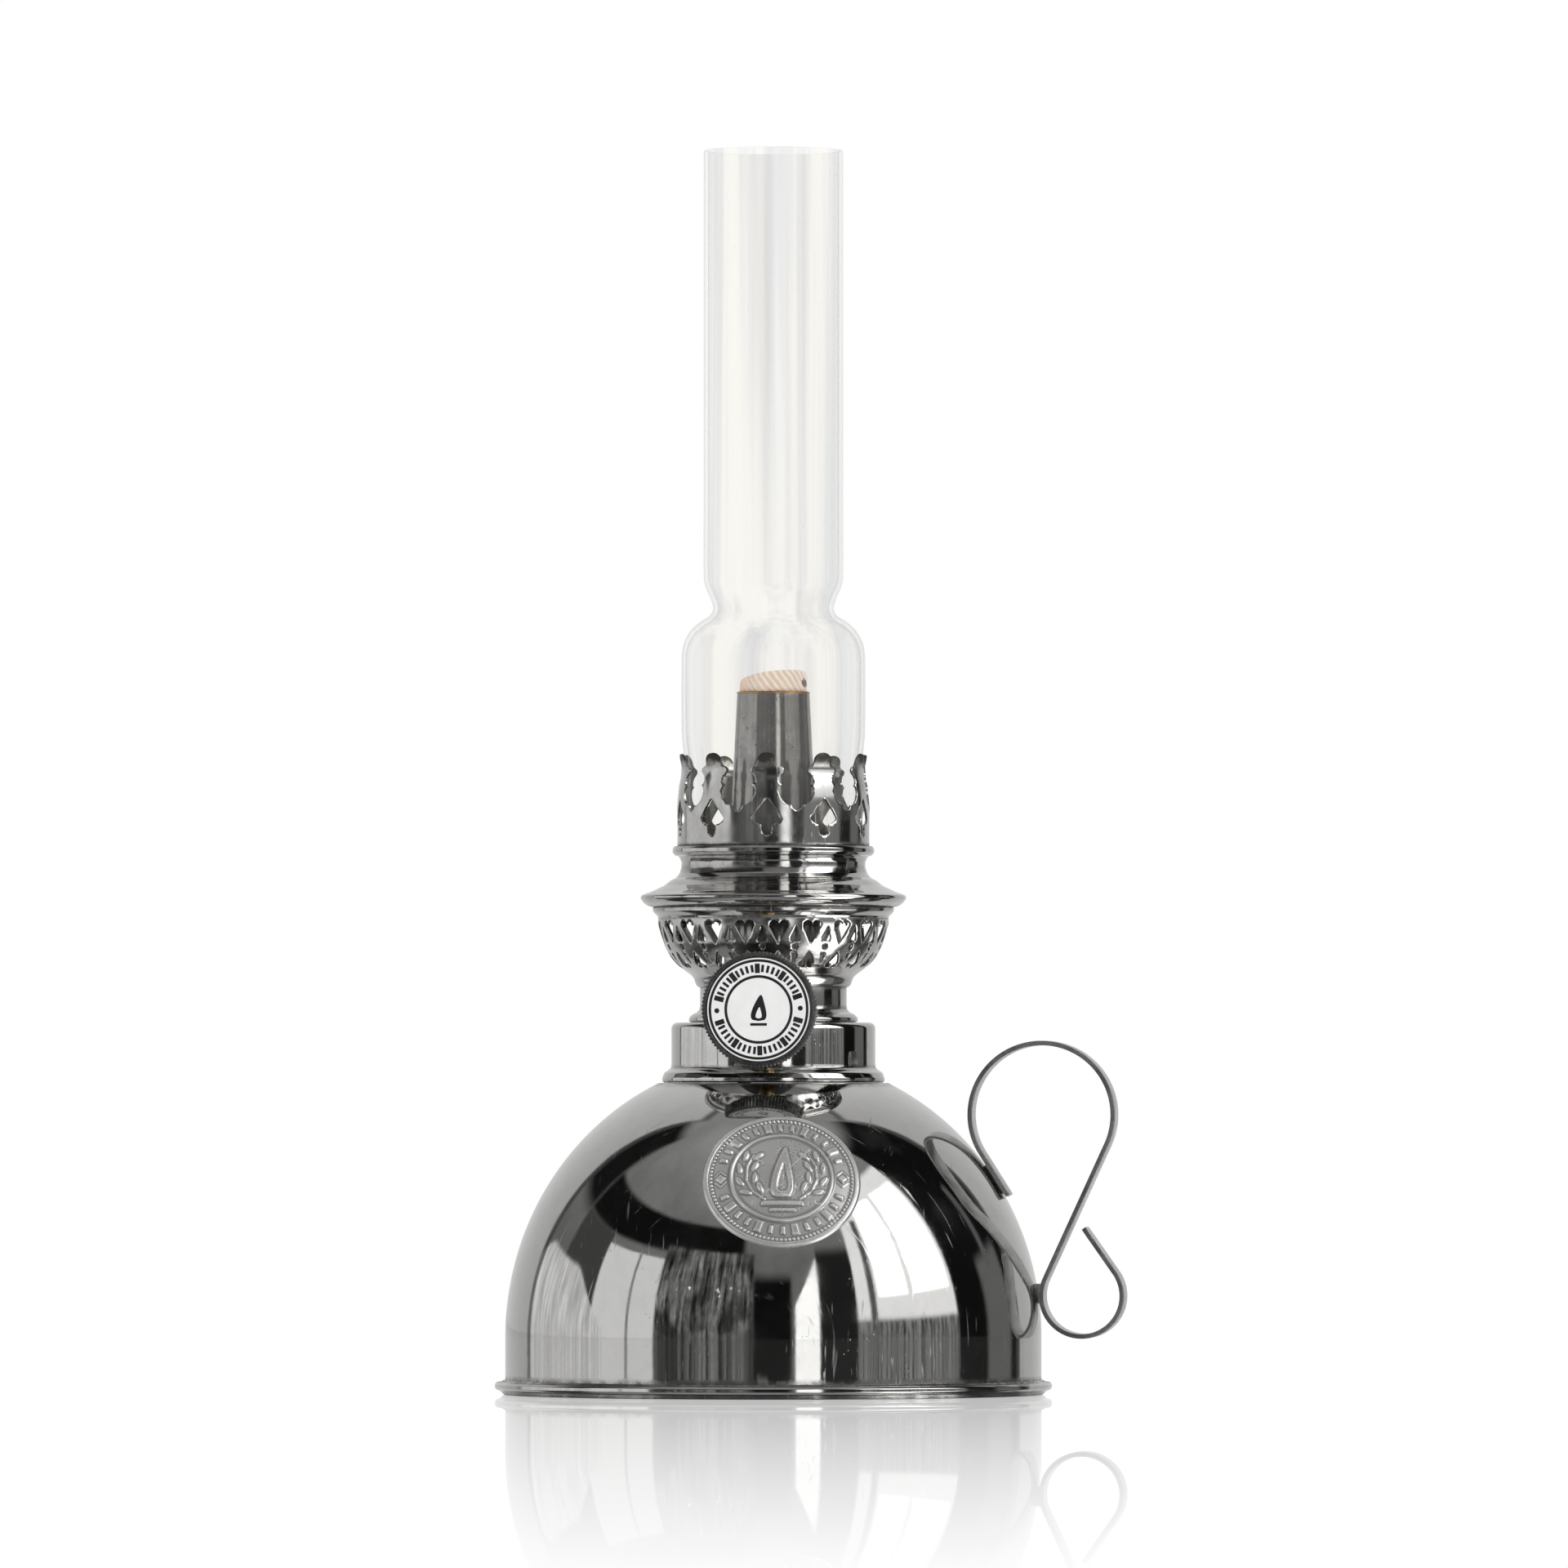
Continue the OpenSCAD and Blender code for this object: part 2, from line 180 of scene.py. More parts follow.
def nickel(name, light=(0.69, 0.685, 0.67), dark=(0.55, 0.545, 0.53), rough=(0.045, 0.12), marks=0.0, dirt=0.3, wave=0.02, seed=0.0, seam_dark_z=()):
    """Plated and polished sheet: near mirror, with smudges, wipe marks, tiny pits, and darker, rougher bands round
    listed heights, mostly where parts meet.
    """
    m, t, p, _ = material(name)
    mm = t.coords()
    big = t.noise(mm, 0.045, 5.0, 0.6, 1.2)
    mid = t.noise(mm, 0.22, 6.0, 0.62, 0.8)
    fine = t.noise(mm, 2.4, 3.0, 0.6)
    lines = hairlines(t, seed, marks)
    smudge = t.step(t.add(t.mul(big, 0.55), t.mul(mid, 0.45)), 0.40, 0.64)
    pits = t.step(t.cells(mm, 0.9), 0.10, 0.055)
    pits = t.mul(pits, t.step(t.noise(mm, 0.16, 2.0), 0.55, 0.68))
    tone = t.mul(smudge, dirt)
    colour = t.mixc(light, dark, tone)
    colour = t.mixc(colour, (0.20, 0.19, 0.175), t.mul(pits, 0.7))
    roughness = t.add(t.step(smudge, 0.0, 1.0, rough[0], rough[1], False), t.mul(lines, 0.20))
    roughness = t.add(roughness, t.mul(pits, 0.3))
    if seam_dark_z:
        z = t.split(mm)[2]
        broken = t.step(t.noise(mm, 0.35, 5.0, 0.65), 0.35, 0.62, 0.35, 1.0)
        # darker, rougher colour in a broken band round each listed height, mostly at the seams between parts
        for z0, reach, depth in seam_dark_z:
            near = t.step(t.math("ABSOLUTE", t.math("SUBTRACT", z, z0)), 0.0, reach, 1.0, 0.0)
            g = t.mul(t.mul(near, broken), depth)
            colour = t.mixc(colour, (0.10, 0.095, 0.085), g)
            roughness = t.add(roughness, t.mul(g, 0.35))
    t.put(p.inputs["Base Color"], colour)
    t.put(p.inputs["Roughness"], roughness)
    height = t.add(t.mul(t.noise(mm, 0.05, 2.0), 1.0), t.mul(mid, 0.12))
    n = t.bump(height, wave)
    n = t.bump(t.add(t.mul(fine, 0.5), t.mul(lines, -0.6)), 0.0008, n)
    n = t.bump(pits, -0.02, n)
    t.put(p.inputs["Normal"], n)
    setup(p, Metallic=1.0)
    return m


def pewter():
    """The wick tube: dull drawn tin-plated tube, run marks down its length, dark pits and heat stain at the mouth."""
    m, t, p, _ = material("mat_tube")
    mm = t.coords()
    z = t.split(mm)[2]
    run = t.noise(t.coords((1400.0, 1400.0, 60.0)), 1.0, 4.0, 0.6)
    cloud = t.noise(mm, 0.16, 6.0, 0.65, 0.6)
    grain = t.noise(mm, 3.0, 4.0, 0.7)
    # small dark pits, thickest a few millimetres under the mouth
    band = t.mul(t.step(z, 118.0, 126.0), t.step(z, 131.0, 134.5, 1.0, 0.15))
    spot = t.step(t.cells(mm, 0.95), 0.21, 0.12)
    spot = t.mul(spot, t.step(t.noise(mm, 0.33, 3.0), 0.48, 0.56))
    speck = t.mul(t.step(t.cells(mm, 1.9), 0.20, 0.11), t.step(t.noise(mm, 0.5, 2.0), 0.46, 0.58))
    pits = t.mul(t.math("MAXIMUM", spot, t.mul(speck, 0.8)), t.add(t.mul(band, 0.8), 0.2))
    colour = t.mixc((0.46, 0.455, 0.44), (0.30, 0.295, 0.285), t.step(cloud, 0.36, 0.66))
    colour = t.mixc(colour, (0.52, 0.515, 0.50), t.mul(t.step(run, 0.52, 0.70), 0.35))
    heat = t.mul(t.step(z, 124.0, 134.0), t.step(cloud, 0.3, 0.6, 0.6, 1.0))
    colour = t.mixc(colour, (0.30, 0.28, 0.26), t.mul(heat, 0.4))
    colour = t.mixc(colour, (0.04, 0.038, 0.036), t.mul(pits, 0.92))
    t.put(p.inputs["Base Color"], colour)
    rough = t.add(t.step(cloud, 0.3, 0.7, 0.10, 0.18, False), t.mul(pits, 0.3))
    t.put(p.inputs["Roughness"], rough)
    n = t.bump(t.add(t.mul(run, 0.4), t.mul(grain, 0.25)), 0.012)
    n = t.bump(pits, -0.05, n)
    t.put(p.inputs["Normal"], n)
    setup(p, Metallic=0.90)
    return m


def badge_metal():
    """The stamped badge: satin, lighter on its crests, grey in its hollows."""
    m, t, p, _ = material("mat_badge")
    mm = t.coords()
    cloud = t.noise(mm, 0.20, 5.0, 0.62, 0.8)
    fine = t.noise(mm, 3.5, 3.0, 0.6)
    g = t.new("ShaderNodeNewGeometry")
    crest = t.step(g.outputs["Pointiness"], 0.485, 0.515)
    colour = t.mixc((0.36, 0.355, 0.35), (0.84, 0.835, 0.825), crest)
    colour = t.mixc(colour, (0.42, 0.415, 0.405), t.mul(t.step(cloud, 0.42, 0.68), 0.4))
    t.put(p.inputs["Base Color"], colour)
    t.put(p.inputs["Roughness"], t.step(cloud, 0.3, 0.7, 0.26, 0.36, False))
    t.put(p.inputs["Normal"], t.bump(fine, 0.006))
    setup(p, Metallic=0.72)
    return m


def strap_metal():
    """The handle's strap: satin faces, its cut edges dull and dark."""
    m, t, p, _ = material("mat_strap")
    mm = t.coords()
    cloud = t.noise(mm, 0.12, 4.0, 0.6, 0.5)
    run = t.noise(t.coords((160.0, 1500.0, 160.0)), 1.0, 2.0, 0.5)
    g = t.new("ShaderNodeNewGeometry")
    ny = t.math("ABSOLUTE", t.split(g.outputs["Normal"])[1])
    edge = t.step(ny, 0.45, 0.85)
    colour = t.mixc((0.69, 0.69, 0.68), (0.54, 0.54, 0.53), t.step(cloud, 0.36, 0.66))
    colour = t.mixc(colour, t.mixc((0.20, 0.20, 0.20), (0.32, 0.32, 0.315), t.step(cloud, 0.38, 0.62)), edge)
    t.put(p.inputs["Base Color"], colour)
    t.put(p.inputs["Roughness"], t.add(t.step(cloud, 0.3, 0.7, 0.30, 0.38, False), t.mul(edge, 0.14)))
    t.put(p.inputs["Normal"], t.bump(run, 0.003))
    setup(p, Metallic=0.9)
    return m


def plain_metal(name, a, b, rough, grain=1.5, stain=(0.1, 0.08, 0.05), stained=0.25, depth=0.02):
    m, t, p, _ = material(name)
    mm = t.coords()
    cloud = t.noise(mm, 0.25, 5.0, 0.62, 0.5)
    fine = t.noise(mm, grain, 4.0, 0.65)
    colour = t.mixc(a, b, t.step(cloud, 0.34, 0.66))
    colour = t.mixc(colour, stain, t.mul(t.step(t.noise(mm, 0.6, 5.0, 0.7), 0.55, 0.75), stained))
    t.put(p.inputs["Base Color"], colour)
    t.put(p.inputs["Roughness"], t.step(fine, 0.3, 0.7, rough[0], rough[1], False))
    t.put(p.inputs["Normal"], t.bump(fine, depth))
    setup(p, Metallic=1.0)
    return m


def rim_black():
    """Blackened, milled rim of the knob, worn to grey along the crests."""
    m, t, p, _ = material("mat_knob_rim")
    mm = t.coords()
    x, y, z = t.split(mm)[:3]
    r = t.math("SQRT", t.add(t.mul(x, x), t.mul(t.math("SUBTRACT", z, 73.8), t.math("SUBTRACT", z, 73.8))))
    cloud = t.noise(mm, 0.5, 5.0, 0.65)
    fine = t.noise(mm, 4.0, 4.0, 0.7)
    worn = t.mul(t.step(r, 10.7, 11.1), t.step(cloud, 0.40, 0.60))
    colour = t.mixc((0.085, 0.085, 0.085), (0.045, 0.045, 0.045), t.step(cloud, 0.35, 0.65))
    colour = t.mixc(colour, (0.34, 0.34, 0.33), t.mul(worn, 0.85))
    t.put(p.inputs["Base Color"], colour)
    t.put(p.inputs["Roughness"], t.step(fine, 0.3, 0.7, 0.30, 0.48, False))
    t.put(p.inputs["Normal"], t.bump(fine, 0.015))
    setup(p, Metallic=0.55)
    return m


def enamel(name, base, shade, rough=(0.10, 0.2), fine=2.0):
    """Glossy lacquer: the white face and the black print on it."""
    m, t, p, _ = material(name)
    mm = t.coords()
    cloud = t.noise(mm, 0.3, 4.0, 0.55)
    colour = t.mixc(base, shade, t.step(cloud, 0.35, 0.70))
    dust = t.mul(t.step(t.cells(mm, 2.2), 0.09, 0.04), t.step(t.noise(mm, 0.8, 2.0), 0.62, 0.72))
    colour = t.mixc(colour, tuple(c * 0.6 for c in shade), t.mul(dust, 0.6))
    t.put(p.inputs["Base Color"], colour)
    t.put(p.inputs["Roughness"], t.step(t.noise(mm, fine, 3.0), 0.3, 0.7, rough[0], rough[1], False))
    t.put(p.inputs["Normal"], t.bump(t.noise(mm, 0.8, 2.0), 0.004))
    setup(p, Coat_Weight=0.3, Coat_Roughness=0.05)
    return m


def cotton():
    """Woven wick: undyed cotton with a twill line, soft fuzz, a scorched, oily edge at its foot, and painted shade down
    its left side.
    """
    m, t, p, _ = material("mat_wick")
    mm = t.coords()
    x, y, z = t.split(mm)[:3]
    turn = t.math("ARCTAN2", y, x)
    strand = t.math("SINE", t.add(t.mul(turn, 28.0), t.add(t.mul(z, 3.2), t.mul(t.noise(mm, 0.9, 2.0), 2.2))))
    fibre = t.noise(t.coords((3000.0, 3000.0, 2600.0)), 1.0, 4.0, 0.7)
    cloud = t.noise(mm, 0.5, 4.0, 0.6)
    high = t.step(strand, -0.35, 0.75)
    colour = t.mixc((0.84, 0.62, 0.47), (0.98, 0.94, 0.89), t.mul(high, t.step(fibre, 0.25, 0.6, 0.6, 1.0)))
    colour = t.mixc(colour, (0.95, 0.80, 0.70), t.mul(t.step(cloud, 0.45, 0.7), 0.4))
    # painted shade: the wick's left side, x below -3 mm, darkened towards red-brown
    left = t.step(x, -6.2, -3.0, 1.0, 0.0)
    colour = t.mixc(colour, (0.80, 0.50, 0.40), t.mul(left, 0.45))
    foot = t.step(z, 135.0, 135.8, 1.0, 0.0)
    colour = t.mixc(colour, (0.72, 0.40, 0.16), t.mul(foot, t.mul(t.step(cloud, 0.35, 0.6), 0.7)))
    # a dark tracer thread, broken by the strands that cross it
    wander = t.mul(t.math("SUBTRACT", t.noise(mm, 1.4, 3.0, 0.6), 0.5), 0.30)
    tracer = t.between(t.add(turn, wander), -0.42, -0.06, 0.05)
    tracer = t.mul(tracer, t.between(t.add(z, t.mul(strand, 0.25)), 135.95, 137.45, 0.2))
    colour = t.mixc(colour, (0.085, 0.030, 0.034), t.mul(tracer, 0.93))
    t.put(p.inputs["Base Color"], colour)
    n = t.bump(t.add(t.mul(strand, 0.5), t.mul(fibre, 0.5)), 0.12)
    t.put(p.inputs["Normal"], n)
    setup(p, Roughness=0.92, Sheen_Weight=0.3, Sheen_Roughness=0.5)
    return m


def clear_glass():
    """Blown chimney glass: faint draw lines and a few seeds."""
    m, t, p, out = material("mat_glass")
    mm = t.coords()
    draw = t.noise(t.coords((260.0, 260.0, 14.0)), 1.0, 3.0, 0.55, 0.3)
    seed = t.mul(t.step(t.cells(t.coords((1000.0, 1000.0, 420.0)), 0.16), 0.05, 0.02), t.step(t.noise(mm, 0.05, 2.0), 0.5, 0.6))
    t.put(p.inputs["Base Color"], t.mixc((0.90, 0.90, 0.895), (0.80, 0.81, 0.82), t.step(draw, 0.35, 0.7)))
    t.put(p.inputs["Roughness"], t.step(seed, 0.0, 1.0, 0.012, 0.2, False))
    t.put(p.inputs["Normal"], t.bump(t.add(t.mul(draw, 1.0), seed), 0.03))
    setup(p, IOR=1.47)
    # thin glass bends nothing: it is seen through, coloured with painted pale and grey reflection streaks and painted
    # cream highlight strips, and mirrors more towards its edges
    clear = t.new("ShaderNodeBsdfTransparent")
    # painted reflections: long upright pale and grey streaks in the see-through colour
    bands = t.noise(t.coords((190.0, 190.0, 3.0)), 1.0, 4.0, 0.55, 0.2)
    painted_strip_noise = t.noise(t.coords((170.0, 170.0, 3.0), (0.0, 0.0, 0.9)), 1.0, 3.0, 0.5, 0.2)
    tint_and_painted_streaks = t.mixc((0.985, 0.983, 0.978), (0.922, 0.921, 0.920), t.step(bands, 0.42, 0.56))
    # painted highlights: cream strips; the next line paints a bluish reflection streak
    tint_and_painted_streaks = t.mixc(tint_and_painted_streaks, (0.998, 0.993, 0.976), t.mul(t.step(painted_strip_noise, 0.50, 0.58), 0.85))
    tint_and_painted_streaks = t.mixc(tint_and_painted_streaks, (0.956, 0.966, 0.976), t.mul(t.step(painted_strip_noise, 0.46, 0.36), 0.6))
    t.put(clear.inputs[0], tint_and_painted_streaks)
    edge = t.new("ShaderNodeLayerWeight")
    edge.inputs[0].default_value = 0.5
    gloss = t.add(t.step(edge.outputs["Facing"], 0.62, 1.0, 0.035, 0.40), t.mul(seed, 0.25))
    mix = t.new("ShaderNodeMixShader")
    t.put(mix.inputs[0], gloss)
    t.put(mix.inputs[1], clear.outputs[0])
    t.put(mix.inputs[2], p.outputs[0])
    t.put(out.inputs["Surface"], mix.outputs[0])
    return m


M_DOME = nickel("mat_font", rough=(0.025, 0.075), marks=0.055, dirt=0.30, wave=0.03, seam_dark_z=((2.75, 1.3, 0.75), (59.8, 1.2, 0.7)))
M_BASE = nickel("mat_base", rough=(0.05, 0.13), marks=0.03, dirt=0.5, wave=0.01, seed=0.3, seam_dark_z=((2.6, 0.5, 0.8), (0.2, 0.8, 0.5)))
M_BADGE = badge_metal()
M_COLLAR = nickel("mat_collar", rough=(0.03, 0.10), marks=0.03, dirt=0.5, wave=0.03, seed=0.8, seam_dark_z=((59.8, 0.9, 0.8), (62.8, 0.7, 0.5)))
M_BURNER = nickel("mat_burner", light=(0.68, 0.675, 0.66), dark=(0.45, 0.44, 0.425), rough=(0.05, 0.13), marks=0.04, dirt=0.5, wave=0.03, seed=0.2, seam_dark_z=((78.2, 0.8, 0.7), (93.6, 0.7, 0.8), (71.4, 0.6, 0.8), (74.2, 0.8, 0.5), (101.0, 1.0, 0.35), (105.3, 0.5, 0.8)))
M_CROWN = nickel("mat_crown", light=(0.70, 0.695, 0.68), dark=(0.46, 0.455, 0.44), rough=(0.10, 0.20), marks=0.05, dirt=0.7, wave=0.04, seed=0.9, seam_dark_z=((105.3, 0.9, 0.8), (122.9, 3.4, 1.9)))
M_BASKET = nickel("mat_basket", light=(0.70, 0.695, 0.68), dark=(0.50, 0.49, 0.475), rough=(0.12, 0.22), marks=0.03, dirt=0.5, wave=0.03, seed=0.6, seam_dark_z=((78.2, 0.8, 0.6), (91.5, 0.6, 0.6)))
M_STRAP = strap_metal()
M_SOLDER = plain_metal("mat_solder", (0.50, 0.50, 0.49), (0.38, 0.38, 0.37), (0.38, 0.50), 0.8, (0.16, 0.16, 0.15), 0.3, 0.02)
M_TIN = plain_metal("mat_tin", (0.48, 0.475, 0.46), (0.34, 0.33, 0.315), (0.28, 0.45), 1.6, (0.16, 0.13, 0.09), 0.35)
M_BRASS = plain_metal("mat_brass", (0.60, 0.45, 0.20), (0.42, 0.30, 0.13), (0.20, 0.38), 1.6, (0.13, 0.09, 0.04), 0.35)
M_LIP = plain_metal("mat_lip", (0.62, 0.38, 0.14), (0.40, 0.22, 0.08), (0.25, 0.42), 2.0, (0.12, 0.06, 0.03), 0.4)
M_STEEL = plain_metal("mat_steel", (0.42, 0.41, 0.40), (0.27, 0.26, 0.25), (0.22, 0.40), 2.0, (0.16, 0.10, 0.06), 0.3)
M_TUBE = pewter()
M_RIM = rim_black()
M_FACE = enamel("mat_knob_face", (0.90, 0.90, 0.895), (0.86, 0.86, 0.85), (0.08, 0.16))
M_PRINT = enamel("mat_knob_print", (0.012, 0.012, 0.013), (0.022, 0.022, 0.022), (0.25, 0.4), 5.0)
M_WICK = cotton()
M_GLASS = clear_glass()


# ------------------------------------------------------------------ mesh helpers


def signed_volume(v, tris):
    a, b, c = v[tris[:, 0]], v[tris[:, 1]], v[tris[:, 2]]
    return float(np.einsum("ij,ij->i", a, np.cross(b, c)).sum() / 6)


def fan(faces):
    return np.array([(f[0], f[i], f[i + 1]) for f in faces for i in range(1, len(f) - 1)], int)


def piece(name, verts, faces, mat, body, replaced=(), sharp=38.0, loop_normals=None):
    """A closed mesh in millimetres becomes a piece that rides on a body."""
    verts = np.asarray(verts, float)
    faces = [tuple(int(i) for i in f) for f in faces]
    if signed_volume(verts, fan(faces)) < 0:
        faces = [f[::-1] for f in faces]
        if loop_normals is not None:
            loop_normals = [n[::-1] for n in loop_normals]
    me = bpy.data.meshes.new(name)
    me.from_pydata((verts * MM).tolist(), [], faces)
    me.update()
    me.materials.append(mat)
    me.shade_smooth()
    if loop_normals is None:
        me.set_sharp_from_angle(angle=math.radians(sharp))
    else:
        me.normals_split_custom_set([tuple(float(c) for c in n) for ns in loop_normals for n in ns])
    ob = bpy.data.objects.new(name, me)
    bpy.context.scene.collection.objects.link(ob)
    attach(ob, body)
    if replaced:
        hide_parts(*replaced)
    return ob


def soften(outline, radius=0.3, n=4):
    """Rounds the corners of a closed (r, z) outline. A third value in a point is its own radius; 0 keeps it sharp."""
    out = []
    count = len(outline)
    for i in range(count):
        p = np.array(outline[i][:2], float)
        r = outline[i][2] if len(outline[i]) > 2 else radius
        a = np.array(outline[i - 1][:2], float) - p
        b = np.array(outline[(i + 1) % count][:2], float) - p
        la, lb = np.linalg.norm(a), np.linalg.norm(b)
        a, b = a / la, b / lb
        turn = math.pi - math.acos(max(-1.0, min(1.0, float(a @ b))))
        if r <= 0 or turn < math.radians(7) or p[0] < 1e-6:
            out.append(tuple(p))
            continue
        d = min(r * math.tan(turn / 2), 0.46 * la, 0.46 * lb)
        r = d / math.tan(turn / 2)
        mid = (a + b) / np.linalg.norm(a + b)
        centre = p + mid * r / math.cos(turn / 2)
        s, e = p + a * d - centre, p + b * d - centre
        a0, a1 = math.atan2(s[1], s[0]), math.atan2(e[1], e[0])
        sweep = (a1 - a0 + math.pi) % TAU - math.pi
        m = max(2, int(math.ceil(n * turn / (math.pi / 2))) + 1)
        for k in range(m + 1):
            t = a0 + sweep * k / m
            out.append((centre[0] + r * math.cos(t), centre[1] + r * math.sin(t)))
    return out


def spline(points, step=0.4):
    """A smooth line through the points (centripetal Catmull-Rom), sampled about every step."""
    p = [np.array(q[:2], float) for q in points]
    p = [2 * p[0] - p[1]] + p + [2 * p[-1] - p[-2]]
    out = [p[1]]
    for i in range(1, len(p) - 2):
        p0, p1, p2, p3 = p[i - 1], p[i], p[i + 1], p[i + 2]
        t0 = 0.0
        t1 = t0 + np.linalg.norm(p1 - p0) ** 0.5
        t2 = t1 + np.linalg.norm(p2 - p1) ** 0.5
        t3 = t2 + np.linalg.norm(p3 - p2) ** 0.5
        m = max(2, int(round(np.linalg.norm(p2 - p1) / step)))
        for k in range(1, m + 1):
            t = t1 + (t2 - t1) * k / m
            a1 = (t1 - t) / (t1 - t0) * p0 + (t - t0) / (t1 - t0) * p1
            a2 = (t2 - t) / (t2 - t1) * p1 + (t - t1) / (t2 - t1) * p2
            a3 = (t3 - t) / (t3 - t2) * p2 + (t - t2) / (t3 - t2) * p3
            b1 = (t2 - t) / (t2 - t0) * a1 + (t - t0) / (t2 - t0) * a2
            b2 = (t3 - t) / (t3 - t1) * a2 + (t - t1) / (t3 - t1) * a3
            out.append((t2 - t) / (t2 - t1) * b1 + (t - t1) / (t2 - t1) * b2)
    return [tuple(q) for q in out]


def lathe(outline, n=192, turn0=0.0):
    """A closed (r, z) outline spun round Z."""
    verts, rows = [], []
    for r, z in outline:
        if r < 1e-6:
            rows.append([len(verts)] * n)
            verts.append((0.0, 0.0, z))
        else:
            rows.append([len(verts) + k for k in range(n)])
            verts += [(r * math.cos(turn0 + TAU * k / n), r * math.sin(turn0 + TAU * k / n), z) for k in range(n)]
    faces = []
    for i in range(len(rows)):
        a, b = rows[i], rows[(i + 1) % len(rows)]
        if a[0] == a[1] and b[0] == b[1]:
            continue
        for k in range(n):
            q = [a[k], a[(k + 1) % n], b[(k + 1) % n], b[k]]
            f = [q[j] for j in range(4) if q[j] != q[j - 1]]
            faces.append(tuple(f))
    return verts, faces


def spun(name, outline, mat, body, replaced=(), n=192, sharp=30.0):
    v, f = lathe(outline, n)
    return piece(name, v, f, mat, body, replaced, sharp)


def loft(rings):
    """Closed rings of the same count, joined and capped."""
    n = len(rings[0])
    verts = [tuple(p) for ring in rings for p in ring]
    faces = []
    for i in range(len(rings) - 1):
        a, b = i * n, (i + 1) * n
        faces += [(a + k, a + (k + 1) % n, b + (k + 1) % n, b + k) for k in range(n)]
    for ring, flip in ((0, True), (len(rings) - 1, False)):
        c = len(verts)
        verts.append(tuple(np.mean([rings[ring][k] for k in range(n)], axis=0)))
        base = ring * n
        for k in range(n):
            f = (base + k, base + (k + 1) % n, c)
            faces.append(f[::-1] if flip else f)
    return verts, faces


def arc(cx, cy, r, a0, a1, n):
    return [(cx + r * math.cos(math.radians(a0 + (a1 - a0) * i / n)), cy + r * math.sin(math.radians(a0 + (a1 - a0) * i / n))) for i in range(n + 1)]


# ------------------------------------------------------------------ font

A_R, B_R, WALL_Z = 51.5, 54.0, 11.0


def dome_line(z1, dt, n, r=A_R):
    a1 = math.asin((z1 - WALL_Z) / (B_R + dt))
    return [((r + dt) * math.cos(a1 * i / n), WALL_Z + (B_R + dt) * math.sin(a1 * i / n)) for i in range(n + 1)]


spun(
    "base_pan_look",
    soften(
        [(0, 1.3), (46.2, 1.3, 0.5), (47.6, 0, 0.5), (51.75, 0, 0.35), (52.55, 0.72, 0.3), (53.25, 0.98, 0.25), (53.5, 1.35, 0.25), (53.5, 2.0, 0.3),
         (53.15, 2.38, 0.2), (52.25, 2.46, 0.2), (51.85, 2.8, 0.2), (50.5, 2.8, 0.1), (50.4, 2.1, 0.2), (0, 2.1)],
        0.25, 5,
    ),
    M_BASE, "font", ("base_pan",), 288, 24.0,
)

dome_outline = (
    [(A_R, 2.78), (A_R, 6.0)]
    + dome_line(59.8, 0, 110)
    + [(13.65, 59.82), (13.65, 59.05)]
    + dome_line(59.0, -0.8, 40)[::-1]
    + [(50.7, 2.78)]
)
spun("font_shell_look", dome_outline, M_DOME, "font", ("dome_shell",), 320, 30.0)

spun(
    "font_collar_look",
    soften(
        [(13.62, 59.85), (21.0, 59.85, 0.15), (21.35, 60.15, 0.2), (21.38, 60.75, 0.4), (21.0, 61.75, 0.7), (20.1, 62.35, 0.35), (19.66, 62.75, 0.4),
         (19.6, 63.6, 0.4), (19.6, 71.4, 1.15), (14.3, 71.4, 0.3), (13.62, 70.8, 0.2)],
        0.3, 6,
    ),
    M_COLLAR, "font", ("font_collar",), 224, 28.0,
)


# ---- badge: a stamped disc that follows the dome, raised 0.2 to 0.8 mm


def smooth(x, lo, hi):
    t = np.clip((x - lo) / (hi - lo), 0, 1)
    return t * t * (3 - 2 * t)


def blob(px, py, cx, cy, rx, ry, turn, edge):
    """A raised lozenge: 1 inside, rolling off over edge."""
    c, s = math.cos(math.radians(turn)), math.sin(math.radians(turn))
    u, v = (px - cx) * c + (py - cy) * s, -(px - cx) * s + (py - cy) * c
    d = np.sqrt((u / rx) ** 2 + (v / ry) ** 2)
    return 1 - smooth(d, 1 - edge, 1 + edge)


def capsule(px, py, ax, ay, bx, by, r0, r1, edge):
    """A raised rib from a to b, r0 to r1 wide."""
    dx, dy = bx - ax, by - ay
    t = np.clip(((px - ax) * dx + (py - ay) * dy) / (dx * dx + dy * dy), 0, 1)
    d = np.hypot(px - ax - dx * t, py - ay - dy * t) - (r0 + (r1 - r0) * t)
    return 1 - smooth(d, -edge, edge)


def flame_mask(px, py, cx, cy, w, h, lean, edge):
    """A flame outline: round at the foot, drawn to a tip that leans."""
    t = (py - cy) / h
    tt = np.clip(t, 0, 1)
    half = w * np.sqrt(np.clip(np.sin(math.pi * np.clip(tt, 0, 1) ** 0.62), 0, None)) * (1 - 0.55 * tt)
    mid = cx + lean * tt * tt
    d = np.abs(px - mid) - half
    inside = 1 - smooth(d, -edge, edge)
    return inside * smooth(t, -0.02, 0.04) * (1 - smooth(t, 0.96, 1.02))


